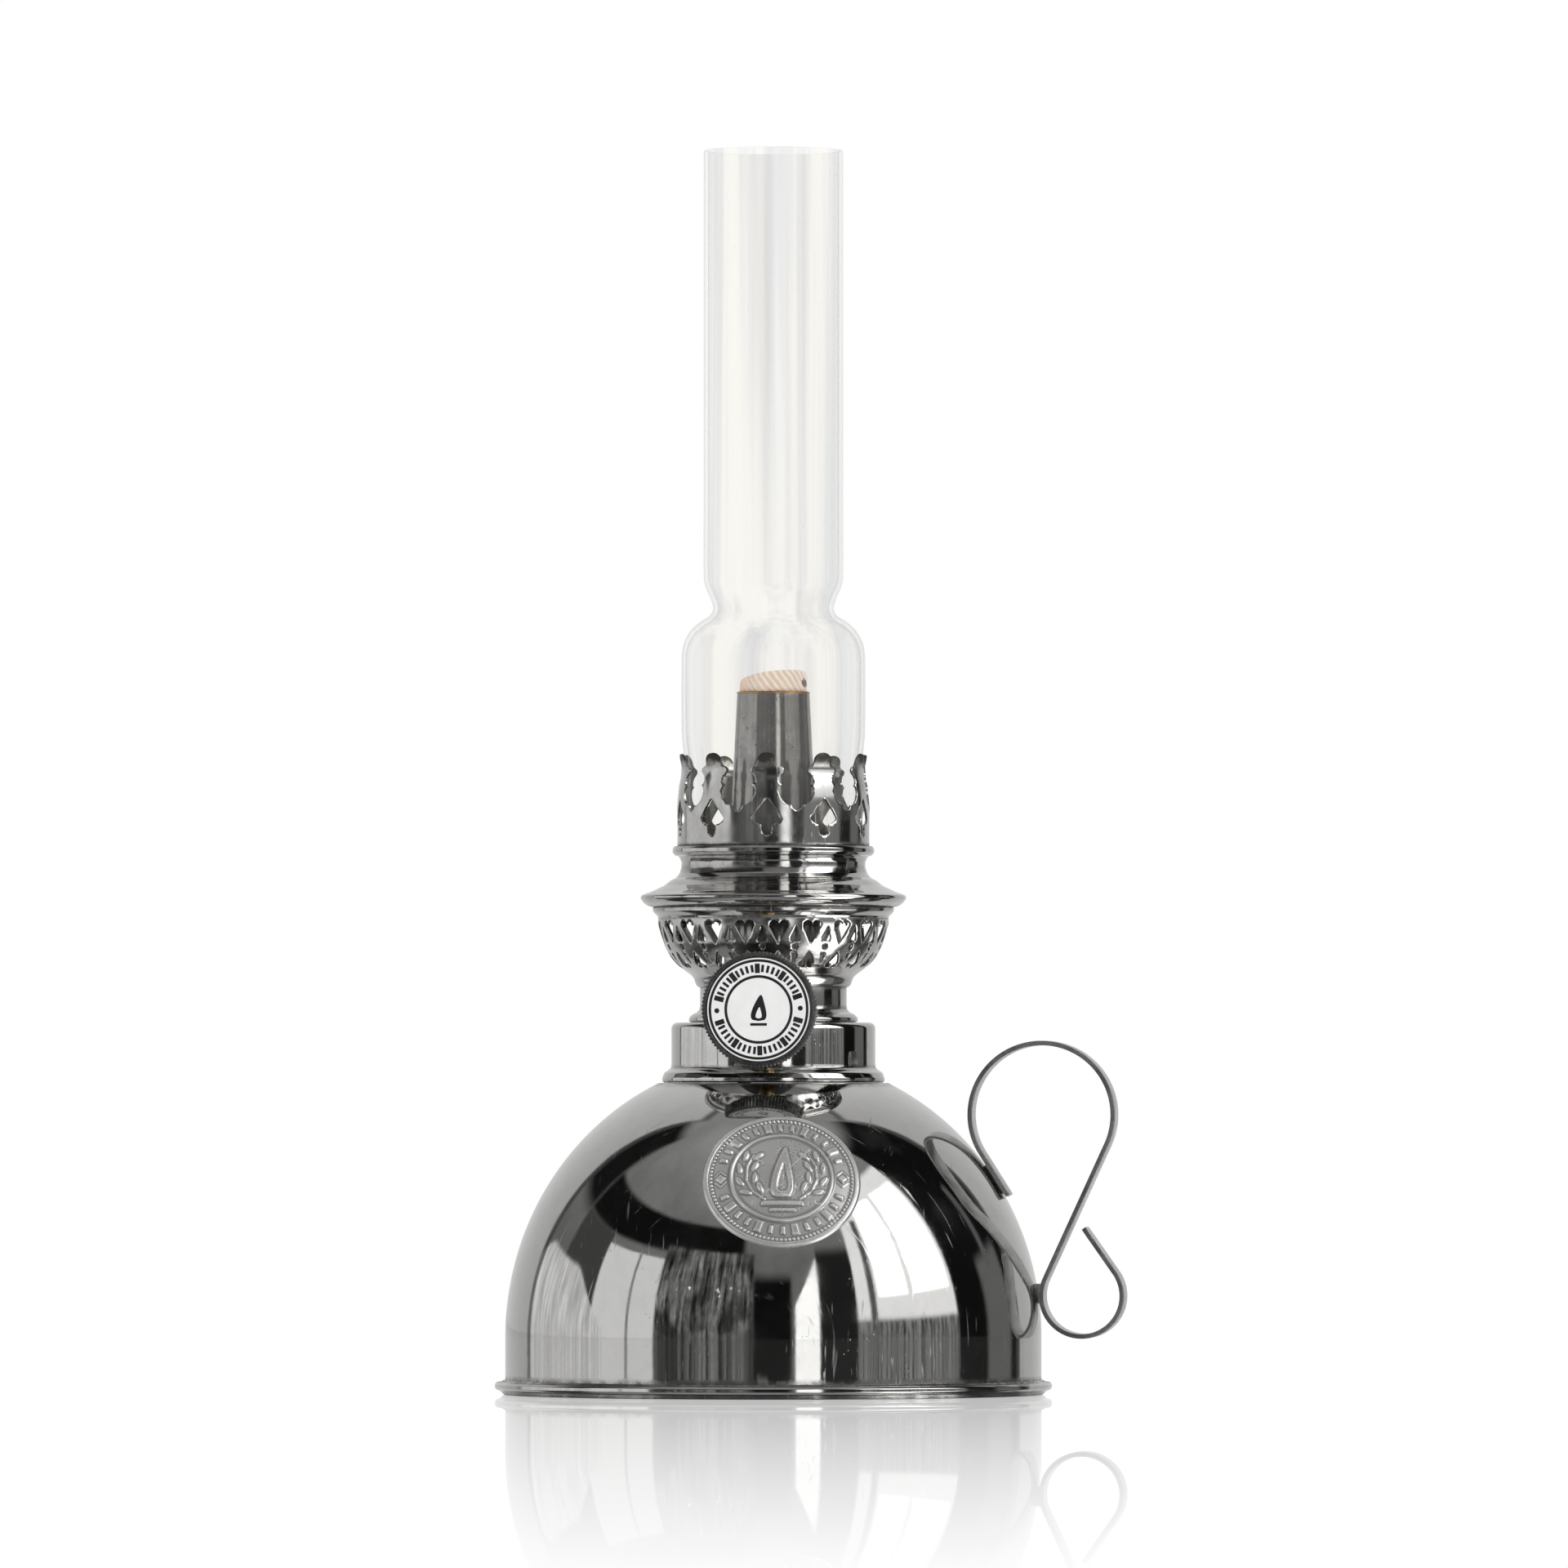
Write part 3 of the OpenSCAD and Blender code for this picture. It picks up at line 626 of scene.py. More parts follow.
def badge_relief(px, py):
    rho = np.hypot(px, py)
    psi = np.degrees(np.arctan2(py, px)) % 360
    h = 0.10 * (1 - smooth(rho, 14.55, 15.25)) - 0.10 * smooth(rho, 14.9, 15.3)
    h += 0.26 * smooth(rho, 13.75, 14.0) * (1 - smooth(rho, 14.5, 15.05))
    # beaded ring
    beads = 104
    away = np.abs(((psi * beads / 360) % 1) - 0.5) * 360 / beads
    bx = np.radians(away) * 13.5
    bead = np.clip(1 - (bx / 0.36) ** 2 - ((rho - 13.42) / 0.34) ** 2, 0, 1)
    h += 0.30 * np.sqrt(bead)
    # raised ring inside the band
    h += 0.34 * np.exp(-(((rho - 9.6) / 0.36) ** 2) * 1.1)
    # band: radial bars of even pitch, with a lozenge at each side
    in_band = smooth(rho, 10.35, 10.6) * (1 - smooth(rho, 12.55, 12.8))
    for lo, hi, count in ((15.0, 165.0, 13), (195.0, 345.0, 13)):
        pitch = (hi - lo) / count
        k = (psi - lo) / pitch
        off = np.abs(k % 1 - 0.5) * pitch * math.radians(1) * 11.55
        wide = np.where(np.floor(k) % 3 == 1, 0.62, 0.36)
        tall = np.where(np.floor(k) % 3 == 1, smooth(rho, 10.35, 10.6) * (1 - smooth(rho, 12.55, 12.8)), smooth(rho, 10.75, 11.0) * (1 - smooth(rho, 12.2, 12.45)))
        bar = (1 - smooth(off, wide - 0.12, wide + 0.16)) * tall
        h += 0.46 * bar * ((psi > lo) & (psi < hi))
    for side in (0.0, 180.0):
        cx = 11.5 * math.cos(math.radians(side))
        d = np.abs(px - cx) / 1.05 + np.abs(py) / 1.05
        h += 0.42 * (1 - smooth(d, 0.72, 1.18))
        d2 = np.abs(np.abs(px - cx) / 1.05 + np.abs(py) / 1.05 - 1.65)
        h += 0.16 * (1 - smooth(d2, 0.1, 0.3)) * in_band
    # the field: a flame over a bar, with two leafy sprays
    body = flame_mask(px, py, 0.0, -4.9, 2.6, 11.6, 0.9, 0.32)
    core = flame_mask(px, py, 0.1, -3.7, 1.15, 6.2, 0.35, 0.25)
    h += 0.62 * body * (0.72 + 0.28 * np.clip(1 - np.abs(px) / 2.8, 0, 1)) - 0.24 * core
    h += 0.45 * capsule(px, py, -3.6, -6.0, 3.6, -6.0, 0.42, 0.42, 0.22)
    h += 0.38 * capsule(px, py, -2.2, -7.4, 2.2, -7.4, 0.30, 0.30, 0.2)
    for s in (-1, 1):
        stem = [(3.4, -5.1), (5.6, -3.3), (6.7, -0.6), (6.5, 2.4), (5.2, 4.9)]
        for (ax, ay), (bx_, by_) in zip(stem, stem[1:]):
            h += 0.22 * capsule(px, py, s * ax, ay, s * bx_, by_, 0.20, 0.17, 0.16) * 0.9
        for cx, cy, turn in ((4.2, -2.4, 70), (6.9, -3.4, 20), (5.1, -0.3, 96), (8.0, -0.9, 55), (5.0, 2.3, 120), (7.9, 2.1, 85), (4.3, 4.6, 140), (6.6, 4.9, 108)):
            h += 0.36 * blob(px, py, s * cx, cy, 1.15, 0.48, turn if s > 0 else 180 - turn, 0.35)
    # ground of the field, finely pitted
    rng = np.random.default_rng(7)
    for _ in range(150):
        a, r = rng.uniform(0, TAU), 8.9 * math.sqrt(rng.uniform(0, 1))
        cx, cy = r * math.cos(a), r * math.sin(a)
        d2 = (px - cx) ** 2 + (py - cy) ** 2
        near = d2 < 0.25
        if cx > -1.5 or rng.uniform() < 0.35:
            h = h - 0.07 * np.where(near, np.exp(-d2 / 0.03), 0) * (rho < 9.1)
    return np.clip(h, -0.06, 0.85)


def badge():
    phi = math.radians(8.2)
    zc = 42.2
    rc = A_R * math.sqrt(1 - ((zc - WALL_Z) / B_R) ** 2)
    c = np.array([rc * math.sin(phi), -rc * math.cos(phi), zc])
    n0 = np.array([c[0] / A_R**2, c[1] / A_R**2, (zc - WALL_Z) / B_R**2])
    n0 /= np.linalg.norm(n0)
    e1 = np.array([math.cos(phi), math.sin(phi), 0.0])
    e2 = np.cross(n0, e1)
    rad = [0.0]
    while rad[-1] < 15.28:
        fine = 0.115 if 12.9 < rad[-1] < 15.1 else 0.15
        rad.append(rad[-1] + fine)
    count = 624
    rr = np.array(rad[1:])
    psi = TAU * np.arange(count) / count
    px = np.concatenate([[0.0], (rr[:, None] * np.cos(psi)).ravel()])
    py = np.concatenate([[0.0], (rr[:, None] * np.sin(psi)).ravel()])
    h = badge_relief(px, py)

    def on_dome(px, py):
        base = c + px[:, None] * e1 + py[:, None] * e2
        w = np.array([1 / A_R**2, 1 / A_R**2, 1 / B_R**2])
        o = np.array([0, 0, WALL_Z])
        qa = (n0 * n0 * w).sum()
        qb = 2 * ((base - o) * n0 * w).sum(1)
        qc = ((base - o) ** 2 * w).sum(1) - 1
        t = (-qb + np.sqrt(qb * qb - 4 * qa * qc)) / (2 * qa)
        q = base + t[:, None] * n0
        nn = (q - o) * w
        return q, nn / np.linalg.norm(nn, axis=1)[:, None]

    q, nn = on_dome(px, py)
    top = q + nn * h[:, None]
    edge = (rr[-1] * np.cos(psi), rr[-1] * np.sin(psi))
    qe, ne = on_dome(*edge)
    under = qe - ne * 0.35
    centre = c - n0 * 0.35
    verts = np.vstack([top, under, centre])
    m = len(rr)
    faces = [(0, 1 + k, 1 + (k + 1) % count) for k in range(count)]
    for i in range(m - 1):
        a, b = 1 + i * count, 1 + (i + 1) * count
        faces += [(a + k, b + k, b + (k + 1) % count, a + (k + 1) % count) for k in range(count)]
    a, b = 1 + (m - 1) * count, 1 + m * count
    faces += [(a + k, b + k, b + (k + 1) % count, a + (k + 1) % count) for k in range(count)]
    last = len(verts) - 1
    faces += [(b + (k + 1) % count, b + k, last) for k in range(count)]
    piece("badge_look", verts, faces, M_BADGE, "font", ("emblem_plate",), 60.0)


badge()


# ---- handle strap

LOOP_C, LOOP_R = np.array([52.0, 53.7]), 13.75
CURL_C, CURL_R = np.array([59.72, 19.0]), 7.75
TAIL_A, TIP_A = -57.6, 125.0
STRAP_T, STRAP_W = 0.9, 8.0
span_v = CURL_C - LOOP_C
LINK_A = math.degrees(math.atan2(span_v[1], span_v[0]) - math.asin((LOOP_R + CURL_R) / np.linalg.norm(span_v)))


def unit2(deg):
    return np.array([math.cos(math.radians(deg)), math.sin(math.radians(deg))])


TAIL_START = LOOP_C + LOOP_R * unit2(TAIL_A + 270)
TAIL_END = TAIL_START + 9.6 * unit2(TAIL_A)
TIP_START = CURL_C + CURL_R * unit2(TIP_A - 90)
TIP_END = TIP_START + 10.4 * unit2(TIP_A)


def straight(a, b, n):
    return [tuple(a + (b - a) * i / n) for i in range(n + 1)]


def strap():
    line = straight(TAIL_END, TAIL_START, 10)[:-1]
    line += arc(*LOOP_C, LOOP_R, TAIL_A + 270, LINK_A + 90, 110)
    low = arc(*CURL_C, CURL_R, LINK_A + 270, TIP_A + 270, 80)
    line += straight(np.array(line[-1]), np.array(low[0]), 22)[1:-1] + low + straight(np.array(low[-1]), TIP_END, 10)[1:]
    p = np.array(line)
    tang = np.gradient(p, axis=0)
    tang /= np.linalg.norm(tang, axis=1)[:, None]
    nor = np.stack([-tang[:, 1], tang[:, 0]], 1)
    seg = np.concatenate([[0], np.cumsum(np.linalg.norm(np.diff(p, axis=0), axis=1))])
    total = seg[-1]
    # slightly rounded ends: the strap narrows over its last 0.5 mm
    rings = []
    stations = list(range(len(p)))
    for i in stations:
        to_end = min(seg[i], total - seg[i])
        cut = 0.0
        if to_end < 0.55:
            cut = 0.42 * (1 - math.sqrt(max(0.0, 1 - (1 - to_end / 0.55) ** 2)))
        t2, w2 = STRAP_T / 2, STRAP_W / 2 - cut
        r = 0.14
        section = []
        for cu, cv, a0 in ((t2 - r, w2 - r, 0), (-t2 + r, w2 - r, 90), (-t2 + r, -w2 + r, 180), (t2 - r, -w2 + r, 270)):
            for k in range(4):
                a = math.radians(a0 + 30 * k)
                section.append((cu + r * math.cos(a), cv + r * math.sin(a)))
        ring = []
        for u, v in section:
            q = p[i] + nor[i] * u
            ring.append((q[0], v, q[1]))
        rings.append(ring)
    v, f = loft(rings)
    piece("handle_strap_look", v, f, M_STRAP, "font", ("handle_strap",), 40.0)


strap()


def dome_x(y, z):
    """x of the font's surface on the handle side."""
    r = A_R * math.sqrt(max(0.0, 1 - (max(z - WALL_Z, 0) / B_R) ** 2))
    return math.sqrt(max(0.0, r * r - y * y))


def solder_upper():
    """Solder run in under the tail: its sides sweep down in a fillet to the font."""
    inner = unit2(TAIL_A - 90)
    rings = []
    count = 16
    for i in range(count + 1):
        s = 2.3 + (8.7 - 2.3) * i / count
        p = TAIL_START + s * unit2(TAIL_A) + inner * (STRAP_T / 2 - 0.08)
        # how far below the tail the font's surface is, along the inner normal, at the middle
        end = min(i, count - i) / 3.0
        w = 2.1 - 0.5 * max(0.0, 1 - end) ** 2 + 0.10 * math.sin(i * 1.7)

        def depth(y):
            lo, hi = -1.0, 8.0
            for _ in range(30):
                mid = (lo + hi) / 2
                q = p + inner * mid
                lo, hi = (mid, hi) if q[0] > dome_x(y, q[1]) else (lo, mid)
            return (lo + hi) / 2

        ring = []
        for y, k in [(-w, 0.0), (-w - 0.04, 0.45), (-w - 0.14, 0.78), (-w - 0.38, 1.02)]:
            d = max(depth(y), 0.05) * k + (0.10 if k > 1 else 0)
            q = p + inner * d
            ring.append((q[0], y, q[1]))
        for y in (-w / 2, 0.0, w / 2):
            q = p + inner * (max(depth(y), 0.05) + 0.25)
            ring.append((q[0], y, q[1]))
        for y, k in [(w + 0.38, 1.02), (w + 0.14, 0.78), (w + 0.04, 0.45), (w, 0.0)]:
            d = max(depth(y), 0.05) * k + (0.10 if k > 1 else 0)
            q = p + inner * d
            ring.append((q[0], y, q[1]))
        ring.append((p[0], 0.0, p[1]))
        rings.append(ring)
    v, f = loft(rings)
    piece("handle_solder_upper_look", v, f, M_SOLDER, "font", ("handle_solder_upper",), 50.0)


def solder_lower():
    """A short fillet of solder between the curl and the font's wall."""
    rings = []
    count = 16
    z_mid = CURL_C[1]
    for i in range(count + 1):
        z = z_mid + 0.4 - 1.9 + 3.8 * i / count
        end = min(i, count - i) / 3.0
        w = 1.9 - 0.5 * max(0.0, 1 - end) ** 2 + 0.05 * math.sin(i * 2.1)
        reach = math.sqrt(max(0.0, (CURL_R + STRAP_T / 2) ** 2 - (z - z_mid) ** 2))
        xs = CURL_C[0] - reach + 0.08
        ring = []
        for y, k in [(-w - 0.25, 0.0), (-w, 0.35), (-w - 0.08, 0.72), (-w - 0.35, 1.0)]:
            xd = dome_x(y, z) - 0.12
            ring.append((xs + (xd - xs) * k, y, z))
        for y in (-w / 2, 0.0, w / 2):
            ring.append((dome_x(y, z) - 0.2, y, z))
        for y, k in [(w + 0.35, 1.0), (w + 0.08, 0.72), (w, 0.35), (w + 0.25, 0.0)]:
            xd = dome_x(y, z) - 0.12
            ring.append((xs + (xd - xs) * k, y, z))
        ring.append((xs, 0.0, z))
        rings.append(ring)
    v, f = loft(rings)
    piece("handle_solder_lower_look", v, f, M_SOLDER, "font", ("handle_solder_lower",), 50.0)


solder_upper()
solder_lower()


# ------------------------------------------------------------------ burner

spun(
    "burner_base_look",
    soften(
        [(12.2, 64.4, 0.1), (12.8, 64.4, 0.1)]
        + [q for i in range(5) for q in ((12.88, 64.9 + 1.2 * i, 0.08), (13.3, 65.2 + 1.2 * i, 0.1), (13.3, 65.5 + 1.2 * i, 0.1), (12.88, 65.8 + 1.2 * i, 0.08))]
        + [(12.88, 71.42, 0.05), (15.9, 71.42, 0.2), (16.25, 71.75, 0.25), (16.2, 72.35, 0.35), (15.6, 72.95, 0.3), (14.75, 73.35, 0.3), (14.2, 73.95, 0.4), (14.1, 74.6, 0.3),
           (14.1, 78.25, 0.1), (13.35, 78.25, 0.1), (13.35, 72.5, 0.3), (12.2, 72.0, 0.2)],
        0.25, 5,
    ),
    M_BURNER, "burner", ("burner_base",), 192, 28.0,
)


class Line:
    """A smooth (r, z) profile that can be read by arc length or by height."""

    def __init__(self, points, step=0.15):
        p = np.array(spline(points, step))
        self.p = p
        self.s = np.concatenate([[0], np.cumsum(np.linalg.norm(np.diff(p, axis=0), axis=1))])
        t = np.gradient(p, axis=0)
        t /= np.linalg.norm(t, axis=1)[:, None]
        self.n = np.stack([t[:, 1], -t[:, 0]], 1)

    def at(self, s):
        r = np.interp(s, self.s, self.p[:, 0])
        z = np.interp(s, self.s, self.p[:, 1])
        nr = np.interp(s, self.s, self.n[:, 0])
        nz = np.interp(s, self.s, self.n[:, 1])
        ln = np.hypot(nr, nz)
        return r, z, nr / ln, nz / ln

    def s_of_z(self, z):
        return np.interp(z, self.p[:, 1], self.s)

    def r_of_z(self, z):
        return np.interp(z, self.p[:, 1], self.p[:, 0])


def inside(poly, x, y):
    """Even-odd test of many points against one polygon."""
    poly = np.asarray(poly)
    hit = np.zeros(len(x), bool)
    j = len(poly) - 1
    for i in range(len(poly)):
        xi, yi = poly[i]
        xj, yj = poly[j]
        cross = (yi > y) != (yj > y)
        if cross.any():
            at = (xj - xi) * (y - yi) / (yj - yi + 1e-15) + xi
            hit ^= cross & (x < at)
        j = i
    return hit


def resample(poly, step):
    """Points no further apart than step along a closed outline, corners kept."""
    out = []
    for i in range(len(poly)):
        a, b = np.array(poly[i], float), np.array(poly[(i + 1) % len(poly)], float)
        m = max(1, int(math.ceil(np.linalg.norm(b - a) / step)))
        out += [tuple(a + (b - a) * k / m) for k in range(m)]
    return out


def pierced(name, line, sectors, turn_deg, u0, u1, outline, holes, ref, thick, grid, mat, body, replaced):
    """A thin shell of revolution with pierced openings. outline and holes are in (arc at radius ref, s);
    one sector is meshed flat, copied round and given its thickness."""
    flat_v, flat_e = [], []

    def ring(poly):
        base = len(flat_v)
        flat_v.extend(poly)
        flat_e.extend((base + k, base + (k + 1) % len(poly)) for k in range(len(poly)))

    ring(outline)
    for h in holes:
        ring(h)
    arr = np.array(outline)
    us = np.arange(u0 + grid, u1 - grid * 0.4, grid)
    ss = np.arange(arr[:, 1].min() + grid, arr[:, 1].max() - grid * 0.4, grid)
    gu, gs = np.meshgrid(us, ss)
    gu = gu + (np.arange(len(ss)) % 2)[:, None] * grid * 0.5
    gu, gs = gu.ravel(), gs.ravel()
    keep = inside(outline, gu, gs) & (gu < u1 - grid * 0.3)
    for h in holes:
        keep &= ~inside(h, gu, gs)
    edge_pts = np.array(flat_v)
    for k in np.nonzero(keep)[0]:
        if np.min(np.hypot(edge_pts[:, 0] - gu[k], edge_pts[:, 1] - gs[k])) < grid * 0.35:
            keep[k] = False
    flat_v.extend(zip(gu[keep], gs[keep]))
    made = delaunay_2d_cdt([Vector((float(a), float(b))) for a, b in flat_v], flat_e, [], 0, 1e-6, False)
    v2 = np.array([tuple(v) for v in made[0]])
    tris = np.array([tuple(f) for f in made[2]], int)
    mid = v2[tris].mean(1)
    ok = inside(outline, mid[:, 0], mid[:, 1])
    for h in holes:
        ok &= ~inside(h, mid[:, 0], mid[:, 1])
    area = 0.5 * ((v2[tris[:, 1], 0] - v2[tris[:, 0], 0]) * (v2[tris[:, 2], 1] - v2[tris[:, 0], 1]) - (v2[tris[:, 2], 0] - v2[tris[:, 0], 0]) * (v2[tris[:, 1], 1] - v2[tris[:, 0], 1]))
    ok &= np.abs(area) > 1e-9
    tris, area = tris[ok], area[ok]
    tris[area < 0] = tris[area < 0][:, ::-1]
    n2 = len(v2)
    width = u1 - u0
    all_u = np.concatenate([v2[:, 0] + width * k for k in range(sectors)])
    all_s = np.tile(v2[:, 1], sectors)
    all_t = np.concatenate([tris + n2 * k for k in range(sectors)])
    ang = all_u / ref
    key = np.stack([np.round(np.cos(ang) * ref, 3), np.round(np.sin(ang) * ref, 3), np.round(all_s, 3)], 1)
    key += 0.0
    _, first, back = np.unique(key, axis=0, return_index=True, return_inverse=True)
    back = back.ravel()
    all_t = back[all_t]
    u, s = all_u[first], all_s[first]
    used = np.unique(all_t)
    new = -np.ones(len(u), int)
    new[used] = np.arange(len(used))
    all_t, u, s = new[all_t], u[used], s[used]
    r, z, nr, nz = line.at(s)
    a = u / ref + math.radians(turn_deg) - math.pi / 2
    ca, sa = np.cos(a), np.sin(a)
    nor = np.stack([nr * ca, nr * sa, nz], 1)
    outer = np.stack([r * ca, r * sa, z], 1)
    inner = outer - nor * thick
    count = len(outer)
    # hole and rim edges are those with one triangle
    edges = {}
    for t in all_t:
        for i in range(3):
            e = (int(t[i]), int(t[(i + 1) % 3]))
            edges[e] = True
    rim = [e for e in edges if (e[1], e[0]) not in edges]
    faces = [tuple(t) for t in all_t]
    # the outer face rolls over a little at every cut edge
    rolled = nor.copy()
    for x, y in rim:
        w = np.cross(outer[y] - outer[x], (nor[x] + nor[y]) / 2)
        w = 0.36 * w / max(np.linalg.norm(w), 1e-12)
        rolled[x] += w
        rolled[y] += w
    rolled /= np.linalg.norm(rolled, axis=1)[:, None]
    normals = [[rolled[i] for i in t] for t in all_t]
    faces += [tuple(int(i) + count for i in t[::-1]) for t in all_t]
    normals += [[-nor[i] for i in t[::-1]] for t in all_t]
    # walls, smoothed along each edge where it turns gently
    wall_n = {}
    for x, y in rim:
        d = outer[y] - outer[x]
        m = (nor[x] + nor[y]) / 2
        w = np.cross(d, m)
        wall_n[(x, y)] = w / max(np.linalg.norm(w), 1e-12)
    into = {y: (x, y) for x, y in rim}
    out_of = {x: (x, y) for x, y in rim}
    for x, y in rim:
        mine = wall_n[(x, y)]
        ends = []
        for here in (x, y):
            other = into.get(here) if here == x else out_of.get(here)
            nn = mine
            if other is not None and wall_n[other] @ mine > 0.80:
                nn = mine + wall_n[other]
                nn = nn / np.linalg.norm(nn)
            ends.append(nn)
        faces.append((y, x, x + count, y + count))
        normals.append([ends[1], ends[0], ends[0], ends[1]])
    verts = np.vstack([outer, inner])
    piece(name, verts, faces, mat, body, replaced, loop_normals=normals)


def heart(tip, top, half, down=True, n=7):
    """A pierced heart: two round lobes and a blunt tip, x across and z up."""
    h = top - tip
    lobe = half * 0.52
    cx = half - lobe
    cz = top - lobe if down else tip + lobe
    right = [(0.16, 0.0)]
    pts = []
    for k in range(1, 5):
        t = k / 5
        pts.append((0.16 + (half - 0.16) * (t**0.92), t * (h - lobe) * 0.98))
    right += pts
    for k in range(n):
        a = math.radians(-8 + (148 + 8) * k / (n - 1))
        right.append((cx + lobe * math.cos(a), (h - lobe) + lobe * math.sin(a)))
    right.append((0.0, h - lobe * 0.80))
    poly = right + [(-x, y) for x, y in reversed(right[:-1])]
    if down:
        return [(x, tip + y) for x, y in poly]
    return [(x, top - y) for x, y in reversed(poly)]


def drop(tip, base, half, up=True):
    """A pierced drop: pointed at tip, round at base."""
    h = abs(tip - base)
    right = [(0.10, h), (0.34 * half, h * 0.74), (0.68 * half, h * 0.48), (0.93 * half, h * 0.26), (half, h * 0.14), (0.90 * half, h * 0.045), (0.62 * half, 0.0)]
    poly = right + [(-x, y) for x, y in reversed(right)]
    if up:
        return [(x, base + y) for x, y in poly]
    return [(x, base - y) for x, y in poly]


def dot(z, r, n=14):
    return [(r * math.cos(TAU * k / n), z + r * math.sin(TAU * k / n)) for k in range(n)]


BASKET = Line([(14.3, 78.2), (14.8, 78.6), (15.1, 79.3), (15.3, 79.9), (15.8, 80.5), (16.7, 81.2), (18.3, 82.4), (19.5, 83.7), (20.25, 84.9), (20.9, 86.2),
               (21.3, 87.4), (21.8, 89.0), (22.1, 90.2), (22.15, 91.55)])


def to_basket(poly, shift=0.0, ref=21.0):
    """(x at the front, z) on the basket becomes (arc at ref, arc length)."""
    out = []
    for x, z in poly:
        out.append((float(x / BASKET.r_of_z(z) * ref + shift), float(BASKET.s_of_z(z))))
    return out


def basket():
    ref = 21.0
    period = TAU * ref / 21
    u0 = -2.02
    u1 = u0 + period
    s1 = float(BASKET.s[-1])
    levels = np.linspace(0, s1, 37)
    outline = [(u0 + (u1 - u0) * k / 15, 0.0) for k in range(15)] + [(u1, float(v)) for v in levels[:-1]]
    outline += [(u1 - (u1 - u0) * k / 15, s1) for k in range(15)] + [(u0, float(v)) for v in levels[::-1][:-1]]
    holes = [
        to_basket(heart(86.6, 90.95, 1.92)),
        to_basket(heart(81.9, 84.9, 1.40, down=False)),
        to_basket(drop(89.8, 86.85, 1.0), period / 2),
        to_basket(dot(85.85, 0.60), period / 2),
        to_basket(drop(82.8, 84.7, 0.50, up=False), period / 2),
    ]
    holes = [resample(h, 0.3) for h in holes]
    pierced("air_basket_look", BASKET, 21, 8.8, u0, u1, outline, holes, ref, 0.45, 0.42, M_BASKET, "burner", ("air_basket",))


basket()

spun(
    "basket_rim_look",
    soften([(21.5, 91.45, 0.05), (22.15, 91.45, 0.05), (22.25, 91.85, 0.2), (22.75, 92.3, 0.25), (23.15, 92.75, 0.2), (23.2, 93.55, 0.15), (21.6, 93.55, 0.1)], 0.2, 5),
    M_BURNER, "burner", ("basket_rim",), 224, 28.0,
)

cover_outer = spline([(23.35, 93.62), (24.3, 93.95), (24.95, 94.45), (25.35, 94.95)], 0.15) + spline(
    [(25.52, 95.3), (25.42, 95.75), (24.9, 96.05), (23.6, 96.5), (22.3, 97.1)], 0.2
)
cover_up = (
    [(21.0, 97.72, 0.5), (20.35, 98.25, 0.35), (19.7, 98.75, 0.3), (18.75, 99.2, 0.6), (18.1, 100.0, 0.8), (17.7, 101.1, 1.0), (17.66, 102.2, 0.8), (17.95, 102.9, 0.3),
     (18.2, 103.3, 0.25), (18.95, 103.55, 0.3), (19.38, 104.1, 0.35), (19.38, 104.8, 0.35), (19.0, 105.28, 0.2), (15.6, 105.3, 0.15), (15.6, 104.6, 0.1), (17.3, 104.6, 0.2), (17.3, 103.6, 0.3),
     (16.95, 102.6, 0.5), (16.95, 100.6, 0.5), (17.5, 99.4, 0.4), (18.3, 98.5, 0.4), (19.7, 97.6, 0.4), (20.4, 97.0, 0.4), (22.0, 96.4, 0.4), (23.6, 95.7, 0.4), (24.3, 95.4, 0.1),
     (24.2, 95.0, 0.1), (23.1, 94.4, 0.2), (21.6, 94.3, 0.1), (21.6, 93.62, 0.1)]
)
spun(
    "gallery_cover_look",
    soften([(x, y, 0.35) for x, y in cover_outer] + cover_up, 0.3, 5),
    M_BURNER, "burner", ("gallery_cover",), 256, 30.0,
)

CROWN = Line([(18.45, 105.3), (18.45, 109.0), (18.5, 112.0), (18.45, 114.6), (18.15, 117.2), (17.78, 119.2), (17.72, 120.1), (17.86, 120.9), (18.1, 121.9), (18.38, 122.9)])


